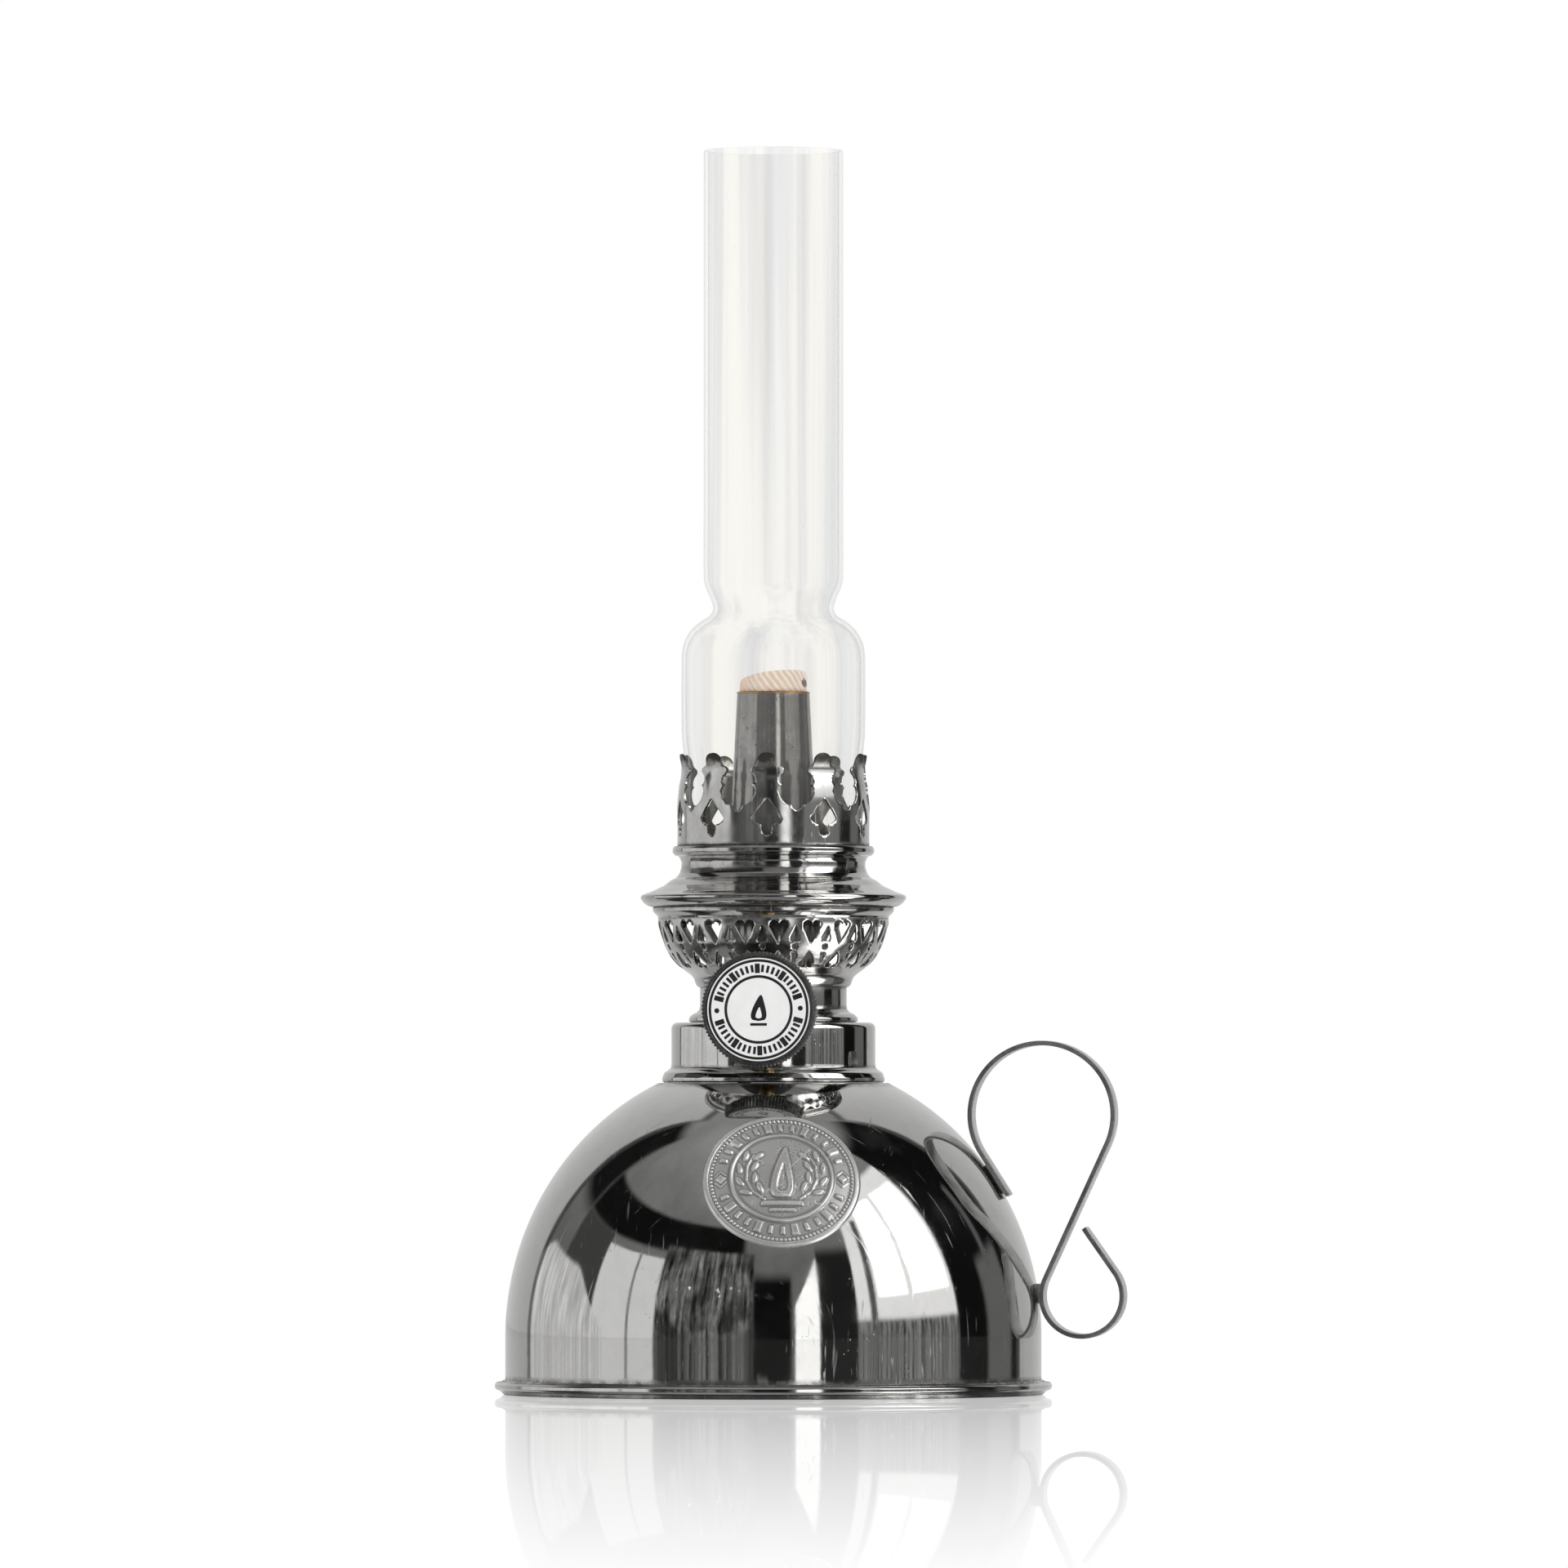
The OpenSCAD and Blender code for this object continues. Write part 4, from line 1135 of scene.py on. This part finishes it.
def crown():
    half = [(5.796, 111.95), (5.45, 112.0), (5.1, 112.22), (4.85, 112.6), (4.72, 112.95), (4.3, 112.96), (3.85, 113.08), (3.45, 113.32), (3.1, 113.66), (2.8, 114.06), (2.56, 114.5),
            (2.38, 114.95), (2.27, 115.42), (2.26, 115.9), (2.42, 116.36), (2.92, 116.82), (2.5, 117.08), (2.3, 117.5), (2.26, 118.0), (2.42, 118.5), (2.85, 118.95), (3.26, 119.28),
            (3.42, 119.68), (3.2, 120.06), (2.72, 120.32), (2.22, 120.52), (1.98, 120.9), (1.93, 121.4), (1.78, 121.95), (1.38, 122.46), (0.75, 122.8), (0.0, 122.9)]
    window = [(0.0, 114.2), (0.3, 113.9), (0.95, 113.1), (1.75, 112.1), (2.45, 111.15), (2.86, 110.5), (2.84, 110.2), (2.45, 109.78), (1.85, 109.42), (1.35, 109.3), (1.08, 109.2),
              (1.0, 108.85), (1.0, 108.2), (0.86, 107.65), (0.5, 107.24), (0.0, 107.1)]
    period = TAU * 18.45 / 10
    u0, u1 = -period / 2, period / 2
    z_side = [105.3 + (111.95 - 105.3) * k / 14 for k in range(14)]

    def s(z):
        return float(CROWN.s_of_z(z))

    half = [(x * (period / 2) / 5.796 if i == 0 else x, z) for i, (x, z) in enumerate(half)]
    outline = [(u0 + (u1 - u0) * k / 20, s(105.3)) for k in range(20)] + [(u1, s(z)) for z in z_side]
    outline += [(x, s(z)) for x, z in half] + [(-x, s(z)) for x, z in reversed(half[1:-1])] + [(u0, s(111.95))] + [(u0, s(z)) for z in reversed(z_side[1:])]
    hole = [(x, s(z)) for x, z in window] + [(-x, s(z)) for x, z in reversed(window[1:-1])]
    hole = resample(hole, 0.3)
    pierced("gallery_crown_look", CROWN, 10, 2.0, u0, u1, outline, [hole], 18.45, 0.38, 0.45, M_CROWN, "burner", ("gallery_crown",))


crown()


# ---- wick tube: a long cone with a thin brass lip


def tube_r(z):
    return 6.95 + (135.0 - z) * 0.0492


def wick_tube():
    n = 192
    zs = [77.4, 80.0, 83.0, 86.0, 88.0, 90.0, 92.0, 96.0] + [100.0 + 2.3 * k for k in range(15)] + [134.0, 134.55]
    outer = [(tube_r(z), z) for z in zs] + [(tube_r(134.8) - 0.02, 134.85), (6.86, 134.98), (6.72, 135.0)]
    inner = [(tube_r(z) - 0.35, z) for z in reversed(zs)]
    rows = outer + [(6.62, 134.9)] + inner
    # the air window on the handle side, between z 86 and 92
    k_half = int(round(math.asin(2.6 / tube_r(89)) / (TAU / n)))
    verts = []
    for r, z in rows:
        verts += [(r * math.cos(TAU * k / n), r * math.sin(TAU * k / n), z) for k in range(n)]
    m = len(rows)
    open_rows = {i for i in range(m - 1) if min(rows[i][1], rows[i + 1][1]) >= 86.0 - 1e-6 and max(rows[i][1], rows[i + 1][1]) <= 92.0 + 1e-6}
    faces = []
    for i in range(m):
        j = (i + 1) % m
        for k in range(n):
            kk = k if k < n / 2 else k - n
            if i in open_rows and -k_half <= kk < k_half:
                continue
            faces.append((i * n + k, i * n + (k + 1) % n, j * n + (k + 1) % n, j * n + k))
    # walls of the window: outer row i pairs with inner row m-1-(i) by height
    z_index_out = {round(z, 3): i for i, (r, z) in enumerate(rows[: len(zs)])}
    z_index_in = {round(z, 3): len(outer) + 1 + i for i, (r, z) in enumerate(inner)}
    levels = [z for z in zs if 86.0 <= z <= 92.0]
    for a, b in zip(levels, levels[1:]):
        for k, flip in ((k_half, False), (-k_half, True)):
            kk = k % n
            f = (z_index_out[a] * n + kk, z_index_out[b] * n + kk, z_index_in[b] * n + kk, z_index_in[a] * n + kk)
            faces.append(f if flip else f[::-1])
    for z, flip in ((86.0, False), (92.0, True)):
        for k in range(-k_half, k_half):
            a, b = k % n, (k + 1) % n
            f = (z_index_out[z] * n + a, z_index_out[z] * n + b, z_index_in[z] * n + b, z_index_in[z] * n + a)
            faces.append(f if flip else f[::-1])
    piece("wick_tube_look", verts, faces, M_TUBE, "burner", ("wick_tube",), 35.0)
    spun(
        "wick_tube_lip_look",
        soften([(6.94, 134.5, 0.02), (7.0, 134.62, 0.04), (6.99, 134.95, 0.06), (6.62, 135.04, 0.08), (6.6, 134.5, 0.02)], 0.05, 3),
        M_LIP, "burner", (), 192, 40.0,
    )


wick_tube()


# ------------------------------------------------------------------ wick


def wick():
    n = 360
    ro, ri = 6.42, 5.05

    def top_z(x):
        return float(np.interp(x, [-6.4, -5.2, -3.2, -1.1, 0.9, 2.9, 4.9, 5.7, 6.5], [137.05, 137.6, 138.25, 138.68, 138.9, 139.03, 139.06, 138.9, 138.45]))

    verts, rows = [], []

    def row(radius, z_of, relief=0.0, slack=0.0):
        base = len(verts)
        for k in range(n):
            a = TAU * k / n
            x, y = math.cos(a), math.sin(a)
            z = z_of(radius * x)
            r = radius
            if relief:
                r += relief * (math.sin(a * 28 + z * 3.2) * 0.75 + math.sin(a * 131 + z * 17) * 0.25)
            verts.append((r * x, r * y, z + (slack * math.sin(a * 37 + 1.3) * math.sin(a * 11) if slack else 0.0)))
        rows.append(base)

    row(6.3, lambda x: 84.0)
    row(6.3, lambda x: 98.0)
    row(6.3, lambda x: 120.0)
    row(6.36, lambda x: 131.5)
    for k in range(34):
        t = k / 33
        row(ro - 0.14 * max(0.0, t - 0.86) / 0.14, lambda x, t=t: 132.0 + (top_z(x) - 0.12 - 132.0) * t, 0.085, 0.05 * t)
    row(ro - 0.20, lambda x: top_z(x) - 0.02, 0.06, 0.04)
    row(6.0, lambda x: top_z(x) + 0.06, 0.05, 0.05)
    row(5.7, lambda x: top_z(x) + 0.05, 0.05, 0.06)
    row(5.35, lambda x: top_z(x) + 0.02, 0.05, 0.05)
    row(ri + 0.04, lambda x: top_z(x) - 0.15, 0.05, 0.08)
    row(ri, lambda x: top_z(x) - 1.0, 0.05)
    row(ri, lambda x: 132.0, 0.05)
    row(5.0, lambda x: 98.0)
    row(5.0, lambda x: 84.0)
    m = len(rows)
    slit = int(round(math.asin(3.4 / 6.3) / (TAU / n)))
    faces = []
    # the slit runs from the foot to z 98 on the handle side: rows 0-1 outside and the last two inside
    open_bands = {0, m - 2}
    for i in range(m):
        j = (i + 1) % m
        for k in range(n):
            kk = k if k < n / 2 else k - n
            if (i in open_bands or i == m - 1) and -slit <= kk < slit:
                continue
            faces.append((rows[i] + k, rows[i] + (k + 1) % n, rows[j] + (k + 1) % n, rows[j] + k))
    o0, o1, i1, i0 = rows[0], rows[1], rows[m - 2], rows[m - 1]
    for k, flip in ((slit, False), (-slit, True)):
        kk = k % n
        f = (o0 + kk, o1 + kk, i1 + kk, i0 + kk)
        faces.append(f if flip else f[::-1])
    for k in range(-slit, slit):
        a, b = k % n, (k + 1) % n
        faces.append((o1 + a, o1 + b, i1 + b, i1 + a)[::-1][::-1])
    piece("wick_ring_look", verts, faces, M_WICK, "wick", ("wick",), 60.0)
    # the flat tail, gently waved and frayed at its foot
    rings = []
    count = 60
    for i in range(count + 1):
        z = 86.0 - 78.0 * i / count
        free = min(1.0, max(0.0, (72.0 - z) / 30.0))
        x0 = -5.6 + 0.22 * free * math.sin(z * 0.21)
        w = 5.8 - 0.25 * free * (0.5 + 0.5 * math.sin(z * 0.33))
        t = 0.66
        ring = []
        sec = [(-t, -w + 0.4), (-t, 0 - w / 2), (-t, 0), (-t, w / 2), (-t, w - 0.4), (-t * 0.6, w - 0.1), (0, w), (t * 0.6, w - 0.1), (t, w - 0.4), (t, w / 2), (t, 0), (t, -w / 2), (t, -w + 0.4),
               (t * 0.6, -w + 0.1), (0, -w), (-t * 0.6, -w + 0.1)]
        for dx, y in sec:
            ring.append((x0 + dx, y, z + (0.5 * math.sin(y * 3.1) if i == count else 0.0)))
        rings.append(ring)
    v, f = loft(rings)
    piece("wick_tail_look", v, f, M_WICK, "wick", (), 50.0)


wick()


# ------------------------------------------------------------------ chimney


def chimney():
    line = [(17.15, 105.3), (17.15, 113), (17.15, 121), (17.3, 123.4), (17.6, 126.6), (17.66, 130), (17.66, 139.5), (17.6, 142.2), (17.3, 144.0), (16.7, 145.5), (15.6, 147.1), (13.7, 148.7),
            (12.4, 149.5), (11.8, 150.3), (11.6, 151.0), (11.7, 151.7), (12.3, 153.4), (13.0, 155.0), (13.32, 156.1), (13.4, 157.4), (13.4, 170), (13.4, 190), (13.4, 215), (13.4, 238.9)]
    outer = spline(line, 0.5)
    p = np.array(outer)
    t = np.gradient(p, axis=0)
    t /= np.linalg.norm(t, axis=1)[:, None]
    nor = np.stack([t[:, 1], -t[:, 0]], 1)
    z = p[:, 1]
    thick = np.interp(z, [105, 108, 142, 151, 160, 239], [1.25, 0.85, 0.75, 0.95, 0.8, 0.8])
    inner = p - nor * thick[:, None]
    inner = inner[inner[:, 1].argsort()]
    top_mid = (outer[-1][0] + inner[-1][0]) / 2
    hw = (outer[-1][0] - inner[-1][0]) / 2
    cap = [(top_mid + hw * math.cos(a), 238.9 + 0.3 * math.sin(a)) for a in np.linspace(0, math.pi, 9)][1:-1]
    inner_down = [tuple(q) for q in inner[::-1]]
    outline = [(17.15 - 0.08, 105.32)] + [q for q in outer if q[1] > 105.45] + cap + [q for q in inner_down if q[1] > 105.45] + [(inner_down[-1][0] + 0.08, 105.32)]
    spun("chimney_glass_look", outline, M_GLASS, "chimney", ("chimney_glass",), 192, 50.0)


chimney()


# ------------------------------------------------------------------ knob

KZ = 73.8


def to_knob(verts):
    """Axis Z in the helper becomes -Y in the row frame, at the spindle's height."""
    return [(x, -z, KZ + y) for x, y, z in verts]


def knob_cup():
    ridges, per = 92, 6
    n = ridges * per
    rows = [(1.3, 23.4, 0), (10.3, 23.4, 0), (10.62, 23.48, 0.4), (10.98, 23.8, 1), (11.1, 24.2, 1), (11.1, 26.4, 1), (11.05, 26.75, 1), (10.88, 27.0, 0.9), (10.62, 27.14, 0.5), (10.4, 27.18, 0.1),
            (10.22, 27.12, 0), (10.12, 26.98, 0), (10.1, 26.45, 0), (10.1, 24.25, 0), (10.0, 24.15, 0), (1.3, 24.15, 0)]
    verts = []
    for r, z, amount in rows:
        for k in range(n):
            a = TAU * k / n
            cut = amount * 0.30 * (0.5 - 0.5 * math.cos(ridges * a)) ** 0.8
            verts.append(((r - cut) * math.cos(a), (r - cut) * math.sin(a), z))
    faces = []
    for i in range(len(rows)):
        j = (i + 1) % len(rows)
        faces += [(i * n + k, i * n + (k + 1) % n, j * n + (k + 1) % n, j * n + k) for k in range(n)]
    piece("knob_cup_look", to_knob(verts), faces, M_RIM, "knob", ("knob_cup",), 50.0)


knob_cup()

v, f = lathe(soften([(0, 26.4), (10.02, 26.4, 0.05), (10.02, 26.9, 0.14), (0, 26.9)], 0.12, 4), 160)
piece("knob_face_look", to_knob(v), f, M_FACE, "knob", ("knob_face",), 30.0)


def ink(poly_rings, name):
    """Flat shapes laid on the knob's face as a thin raised print. Each shape is an outline in face x, y."""
    verts, faces = [], []
    for poly in poly_rings:
        made = delaunay_2d_cdt([Vector(p) for p in poly], [(k, (k + 1) % len(poly)) for k in range(len(poly))], [], 1, 1e-6, False)
        vv = [tuple(p) for p in made[0]]
        base, m = len(verts), len(vv)
        verts += [(x, y, 26.925) for x, y in vv] + [(x, y, 26.86) for x, y in vv]
        edges = set()
        for t in made[2]:
            t = tuple(t)
            a = sum(vv[t[i]][0] * vv[t[(i + 1) % len(t)]][1] - vv[t[(i + 1) % len(t)]][0] * vv[t[i]][1] for i in range(len(t)))
            if a < 0:
                t = t[::-1]
            faces.append(tuple(base + i for i in t))
            faces.append(tuple(base + m + i for i in t[::-1]))
            edges |= {(t[i], t[(i + 1) % len(t)]) for i in range(len(t))}
        for a, b in edges:
            if (b, a) not in edges:
                faces.append((base + b, base + a, base + m + a, base + m + b))
    piece(name, to_knob(verts), faces, M_PRINT, "knob", (), 30.0)


def ring_ink(name, r0, r1):
    v, f = lathe([(r0, 26.86), (r1, 26.86), (r1, 26.925), (r0, 26.925)], 192)
    piece(name, to_knob(v), f, M_PRINT, "knob", (), 30.0)


ring_ink("knob_print_ring_1", 9.84, 9.99)
ring_ink("knob_print_ring_2", 9.08, 9.57)
ring_ink("knob_print_ring_3", 6.02, 6.54)


def sector_bar(a_mid, width_mm, r0, r1, n=3):
    out = []
    for r, way in ((r0, 1), (r1, -1)):
        h = width_mm / 2 / r
        for k in range(n + 1):
            a = a_mid + way * h * (2 * k / n - 1)
            out.append((r * math.cos(a), r * math.sin(a)))
    return out


shapes = []
tilt = math.radians(1.7)
for lo, hi in ((13.0, 167.0), (193.0, 347.0)):
    count = 21
    for k in range(count):
        a = math.radians(lo + (hi - lo) * (k + 0.5) / count) + tilt
        if k % 5 == 0:
            shapes.append(sector_bar(a, 0.95, 6.95, 8.75))
        else:
            shapes.append(sector_bar(a, 0.52, 7.15, 8.55))
for a in (0.0, math.pi):
    cx, cy = 8.0 * math.cos(a + tilt), 8.0 * math.sin(a + tilt)
    shapes.append([(cx + 0.48 * math.cos(TAU * k / 20), cy + 0.48 * math.sin(TAU * k / 20)) for k in range(20)])
ink(shapes, "knob_print_marks")


def flame_outline(h, w, lean, n=26):
    left, right = [], []
    for k in range(n + 1):
        t = k / n
        half = w * math.sqrt(max(0.0, math.sin(math.pi * min(1.0, t**0.60)))) * (1 - 0.5 * t)
        mid = lean * t * t
        if k in (0, n):
            half = 0.0
        right.append((mid + half, h * (t - 0.5)))
        left.append((mid - half, h * (t - 0.5)))
    return right + left[::-1][1:-1]


def flame_print():
    """A little flame: a dark outline shape with a light heart, over a short bar."""
    outer = [(x, y + 0.30) for x, y in flame_outline(5.0, 1.72, 0.45)]
    hole = [(x + 0.02, y - 0.62) for x, y in flame_outline(2.2, 0.68, 0.15, 16)]
    pts = outer + hole
    m, k0 = len(outer), len(hole)
    edges = [(k, (k + 1) % m) for k in range(m)] + [(m + k, m + (k + 1) % k0) for k in range(k0)]
    made = delaunay_2d_cdt([Vector(p) for p in pts], edges, [], 0, 1e-6, False)
    vv = np.array([tuple(p) for p in made[0]])
    tris = [tuple(t) for t in made[2]]
    mid = np.array([vv[list(t)].mean(0) for t in tris])
    ok = inside(outer, mid[:, 0], mid[:, 1]) & ~inside(hole, mid[:, 0], mid[:, 1])
    verts = [(x, y, 26.925) for x, y in vv] + [(x, y, 26.86) for x, y in vv]
    c = len(vv)
    faces, edges = [], set()
    for t, good in zip(tris, ok):
        if not good:
            continue
        a = sum(vv[t[i]][0] * vv[t[(i + 1) % 3]][1] - vv[t[(i + 1) % 3]][0] * vv[t[i]][1] for i in range(3))
        if abs(a) < 1e-9:
            continue
        if a < 0:
            t = t[::-1]
        faces += [tuple(t), tuple(c + i for i in t[::-1])]
        edges |= {(t[i], t[(i + 1) % 3]) for i in range(3)}
    faces += [(b, a, c + a, c + b) for a, b in edges if (b, a) not in edges]
    piece("knob_print_flame", to_knob(verts), faces, M_PRINT, "knob", (), 30.0)
    ink([[(-1.6, -3.1), (1.6, -3.1), (1.6, -2.6), (-1.6, -2.6)]], "knob_print_bar")


flame_print()


# ------------------------------------------------------------------ CAD nodes that stay

for node, mat, slot in (
    ("draft_tube", M_TIN, "tube_metal"), ("draft_duct", M_TIN, "tube_metal"), ("tube_floor", M_TIN, "solder"), ("raiser_bracket", M_BRASS, "brass"),
    ("spindle_ferrule", M_BRASS, "brass"), ("knob_spindle", M_STEEL, "steel"), ("star_wheel_front", M_BRASS, "brass"), ("star_wheel_rear", M_BRASS, "brass"),
    ("spindle_clip", M_STEEL, "steel"), ("knob_hub", M_BRASS, "brass"),
):
    o = NODES[node]
    o.data.materials.clear()
    o.data.materials.append(mat)


# ------------------------------------------------------------------ stage


def studio():
    """Plain soft light. What the polished metal mirrors is a quiet room: pale sweep behind, dark walls, one window."""
    w = bpy.data.worlds.new("studio")
    bpy.context.scene.world = w
    w.use_nodes = True
    t = Tree(w.node_tree)
    out = t.new("ShaderNodeOutputWorld")
    bg = t.new("ShaderNodeBackground")
    t.nt.links.new(bg.outputs[0], out.inputs[0])
    tc = t.new("ShaderNodeTexCoord")
    m = t.new("ShaderNodeMapping")
    m.inputs["Rotation"].default_value = (0, 0, -math.radians(CAM_TURN))
    t.nt.links.new(tc.outputs["Generated"], m.inputs["Vector"])
    x, y, z = t.split(m.outputs[0])[:3]
    az = t.mul(t.math("ARCTAN2", x, t.mul(y, -1.0)), 57.29578)
    el = t.mul(t.math("ARCSINE", z), 57.29578)
    far = t.math("ABSOLUTE", az)

    def tone(srgb):
        """The light that shows as this grey in polished nickel."""
        return (((srgb + 0.055) / 1.055) ** 2.4) / 0.66

    soft = t.noise(m.outputs[0], 2.2, 4.0, 0.55)
    level = t.step(el, 20.0, 80.0, tone(0.36), tone(0.47))
    level = t.mul(level, t.step(soft, 0.3, 0.7, 0.82, 1.18))

    def paint(value, a0, a1, e0, e1, s=0.8, se=0.8, mask=None):
        nonlocal level
        k = t.mul(t.between(az, a0, a1, s), t.between(el, e0, e1, se))
        if mask is not None:
            k = t.mul(k, mask)
        level = t.mixf(level, value if isinstance(value, bpy.types.NodeSocket) else tone(value), k)

    # dark end wall and ceiling beam on the left
    paint(0.07, -131, -112, 30, 61, 2.5, 3)
    paint(0.05, -112, -14, 31, 43, 2.0, 1.0)
    paint(0.22, -112, -86, -20, 31, 1.0)
    # shelves in shade, left of the middle: upright streaks with a few glints
    comb = t.new("ShaderNodeCombineXYZ")
    t.put(comb.inputs[0], t.mul(az, 0.55))
    t.put(comb.inputs[1], t.mul(el, 0.05))
    streak = t.noise(comb.outputs[0], 1.0, 4.0, 0.7)
    shade = t.mul(t.step(streak, 0.34, 0.72, tone(0.06), tone(0.50)), t.step(t.noise(m.outputs[0], 5.0, 3.0), 0.35, 0.65, 0.35, 1.3))
    paint(shade, -53, -9, -20, 33, 0.6)
    comb2 = t.new("ShaderNodeCombineXYZ")
    t.put(comb2.inputs[0], t.mul(az, 0.35))
    t.put(comb2.inputs[1], t.mul(el, 0.35))
    glint = t.step(t.noise(comb2.outputs[0], 1.0, 2.0, 0.5), 0.66, 0.72)
    paint(0.95, -50, -12, 14, 20, 0.6, 0.8, glint)
    # two pale screens with a gap, and a rounded pale heap further left
    paint(0.74, -86, -53, -20, 28, 0.7, 0.5)
    paint(0.45, -67, -65.6, -20, 28, 0.3, 0.5)
    heap = t.math("SUBTRACT", el, t.step(t.math("ABSOLUTE", t.add(az, 112.0)), 10.0, 38.0, 18.0, 2.0))
    heap = t.mul(t.step(heap, -0.8, 0.8, 1.0, 0.0), t.between(az, -150, -79, 1.0))
    fold = t.step(t.noise(comb.outputs[0], 1.3, 3.0, 0.6), 0.35, 0.7, tone(0.60), tone(0.80))
    level = t.mixf(level, fold, heap)
    # the far end of the room: dark figureless gap, bright doorway strip
    paint(0.04, -9, 8, -20, 24, 1.2, 3.0)
    slope = t.mul(t.between(az, 9.5, 20, 0.5), t.step(t.math("SUBTRACT", el, t.step(az, 9.0, 20.0, 12.0, 31.0, False)), -0.7, 0.7, 1.0, 0.0))
    level = t.mixf(level, tone(0.98), slope)
    paint(0.10, 20.5, 37, -20, 34, 0.6, 3.0)
    # tall window on the right: pale reveal, two bright lights, sill
    paint(0.84, 37, 87, 6, 58, 0.6, 1.2)
    paint(0.30, 43, 46, 6, 44, 0.8, 1.0)
    low = t.step(t.noise(comb.outputs[0], 1.7, 4.0, 0.6), 0.35, 0.68, tone(0.16), tone(0.52))
    paint(low, 37, 87, -20, 6.5, 1.0, 1.5)
    paint(1.35, 47.5, 62, 15, 50, 0.5, 0.8)
    paint(1.35, 65, 85, 15, 51, 0.5, 0.8)
    # dark wall beyond it, with a dim upright shape
    paint(0.05, 87.5, 130, -20, 68, 0.8, 4.0)
    paint(0.14, 87.5, 130, 30, 62, 3.0, 6.0, t.step(soft, 0.45, 0.6))
    paint(0.34, 106, 124, -20, 18, 2.0, 2.0)
    paint(0.32, 113.5, 116.5, 15, 36, 1.0, 1.0)
    # pale sweep behind the object, on both sides
    sweep = t.mul(t.step(far, 131.0, 134.0), t.step(el, 62.0, 68.0, 1.0, 0.0))
    level = t.mixf(level, t.step(far, 132.0, 180.0, tone(0.60), tone(0.70)), sweep)
    seam = t.mul(t.between(far, 129.0, 132.5, 1.0), t.step(el, 55.0, 66.0, 1.0, 0.0))
    level = t.mixf(level, tone(0.20), t.mul(seam, 0.8))
    seam2 = t.mul(t.step(far, 128.0, 134.0), t.between(el, 63.5, 66.5, 1.2))
    level = t.mixf(level, tone(0.22), t.mul(seam2, 0.8))

    lp = t.new("ShaderNodeLightPath")
    bounced = t.math("GREATER_THAN", lp.outputs["Glossy Depth"], 0.5)
    mirror_floor = lp.outputs["Is Singular Ray"]
    use_room = t.mul(bounced, t.math("SUBTRACT", 1.0, mirror_floor))
    value = t.mixf(1.0, level, use_room)
    t.put(bg.inputs["Color"], (1, 1, 1, 1))
    t.put(bg.inputs["Strength"], value)


studio()


def floor():
    """A plain pale floor, glossy enough to give a fading mirror image near the object."""
    m = bpy.data.materials.new("mat_floor")
    m.use_nodes = True
    t = Tree(m.node_tree)
    out = t.new("ShaderNodeOutputMaterial")
    tc = t.new("ShaderNodeTexCoord")
    x, y, z = t.split(tc.outputs["Object"])[:3]
    dist = t.math("SQRT", t.add(t.mul(x, x), t.mul(y, y)))
    lp = t.new("ShaderNodeLightPath")
    glow = t.new("ShaderNodeEmission")
    seen = t.mixf(1.0, 0.22, t.math("GREATER_THAN", lp.outputs["Glossy Depth"], 0.5))
    t.put(glow.inputs["Strength"], seen)
    gloss = t.new("ShaderNodeBsdfGlossy")
    again = t.math("GREATER_THAN", lp.outputs["Glossy Depth"], 0.5)
    t.put(gloss.inputs["Roughness"], t.mul(again, 0.07))
    gloss.inputs["Color"].default_value = (1, 1, 1, 1)
    fade = t.step(dist, 0.05, 1.15, 0.52, 0.0, False)
    grazing = t.new("ShaderNodeLayerWeight")
    grazing.inputs[0].default_value = 0.5
    fade = t.mul(fade, t.step(grazing.outputs["Facing"], 0.80, 0.97))
    fade = t.mixf(fade, 0.95, again)
    mix = t.new("ShaderNodeMixShader")
    t.put(mix.inputs[0], fade)
    t.put(mix.inputs[1], glow.outputs[0])
    t.put(mix.inputs[2], gloss.outputs[0])
    t.put(out.inputs["Surface"], mix.outputs[0])
    me = bpy.data.meshes.new("floor")
    s = 9.0
    me.from_pydata([(-s, -s, 0), (s, -s, 0), (s, s, 0), (-s, s, 0)], [], [(0, 1, 2, 3)])
    me.materials.append(m)
    o = bpy.data.objects.new("floor", me)
    bpy.context.scene.collection.objects.link(o)
    o.location.z = -0.00002


floor()

# ------------------------------------------------------------------ camera

cam_data = bpy.data.cameras.new("camera")
cam = bpy.data.objects.new("camera", cam_data)
bpy.context.scene.collection.objects.link(cam)
bpy.context.scene.camera = cam
turn = math.radians(CAM_TURN)
back = Vector((math.sin(turn), -math.cos(turn), 0.0))
right = Vector((math.cos(turn), math.sin(turn), 0.0))
SPAN = 1920 / 6.37 * MM
DIST = 3.0
cam.location = back * DIST + right * 0.00204 + Vector((0, 0, 0.060))
aim = right * 0.00204 + Vector((0, 0, (1707 - 960) / 6.37 * MM))
cam.rotation_mode = "QUATERNION"
cam.rotation_quaternion = (aim - cam.location).to_track_quat("-Z", "Y")
cam_data.sensor_width = 36
cam_data.lens = 36 * DIST / SPAN
cam_data.clip_end = 100
bpy.context.scene.view_settings.view_transform = "Standard"
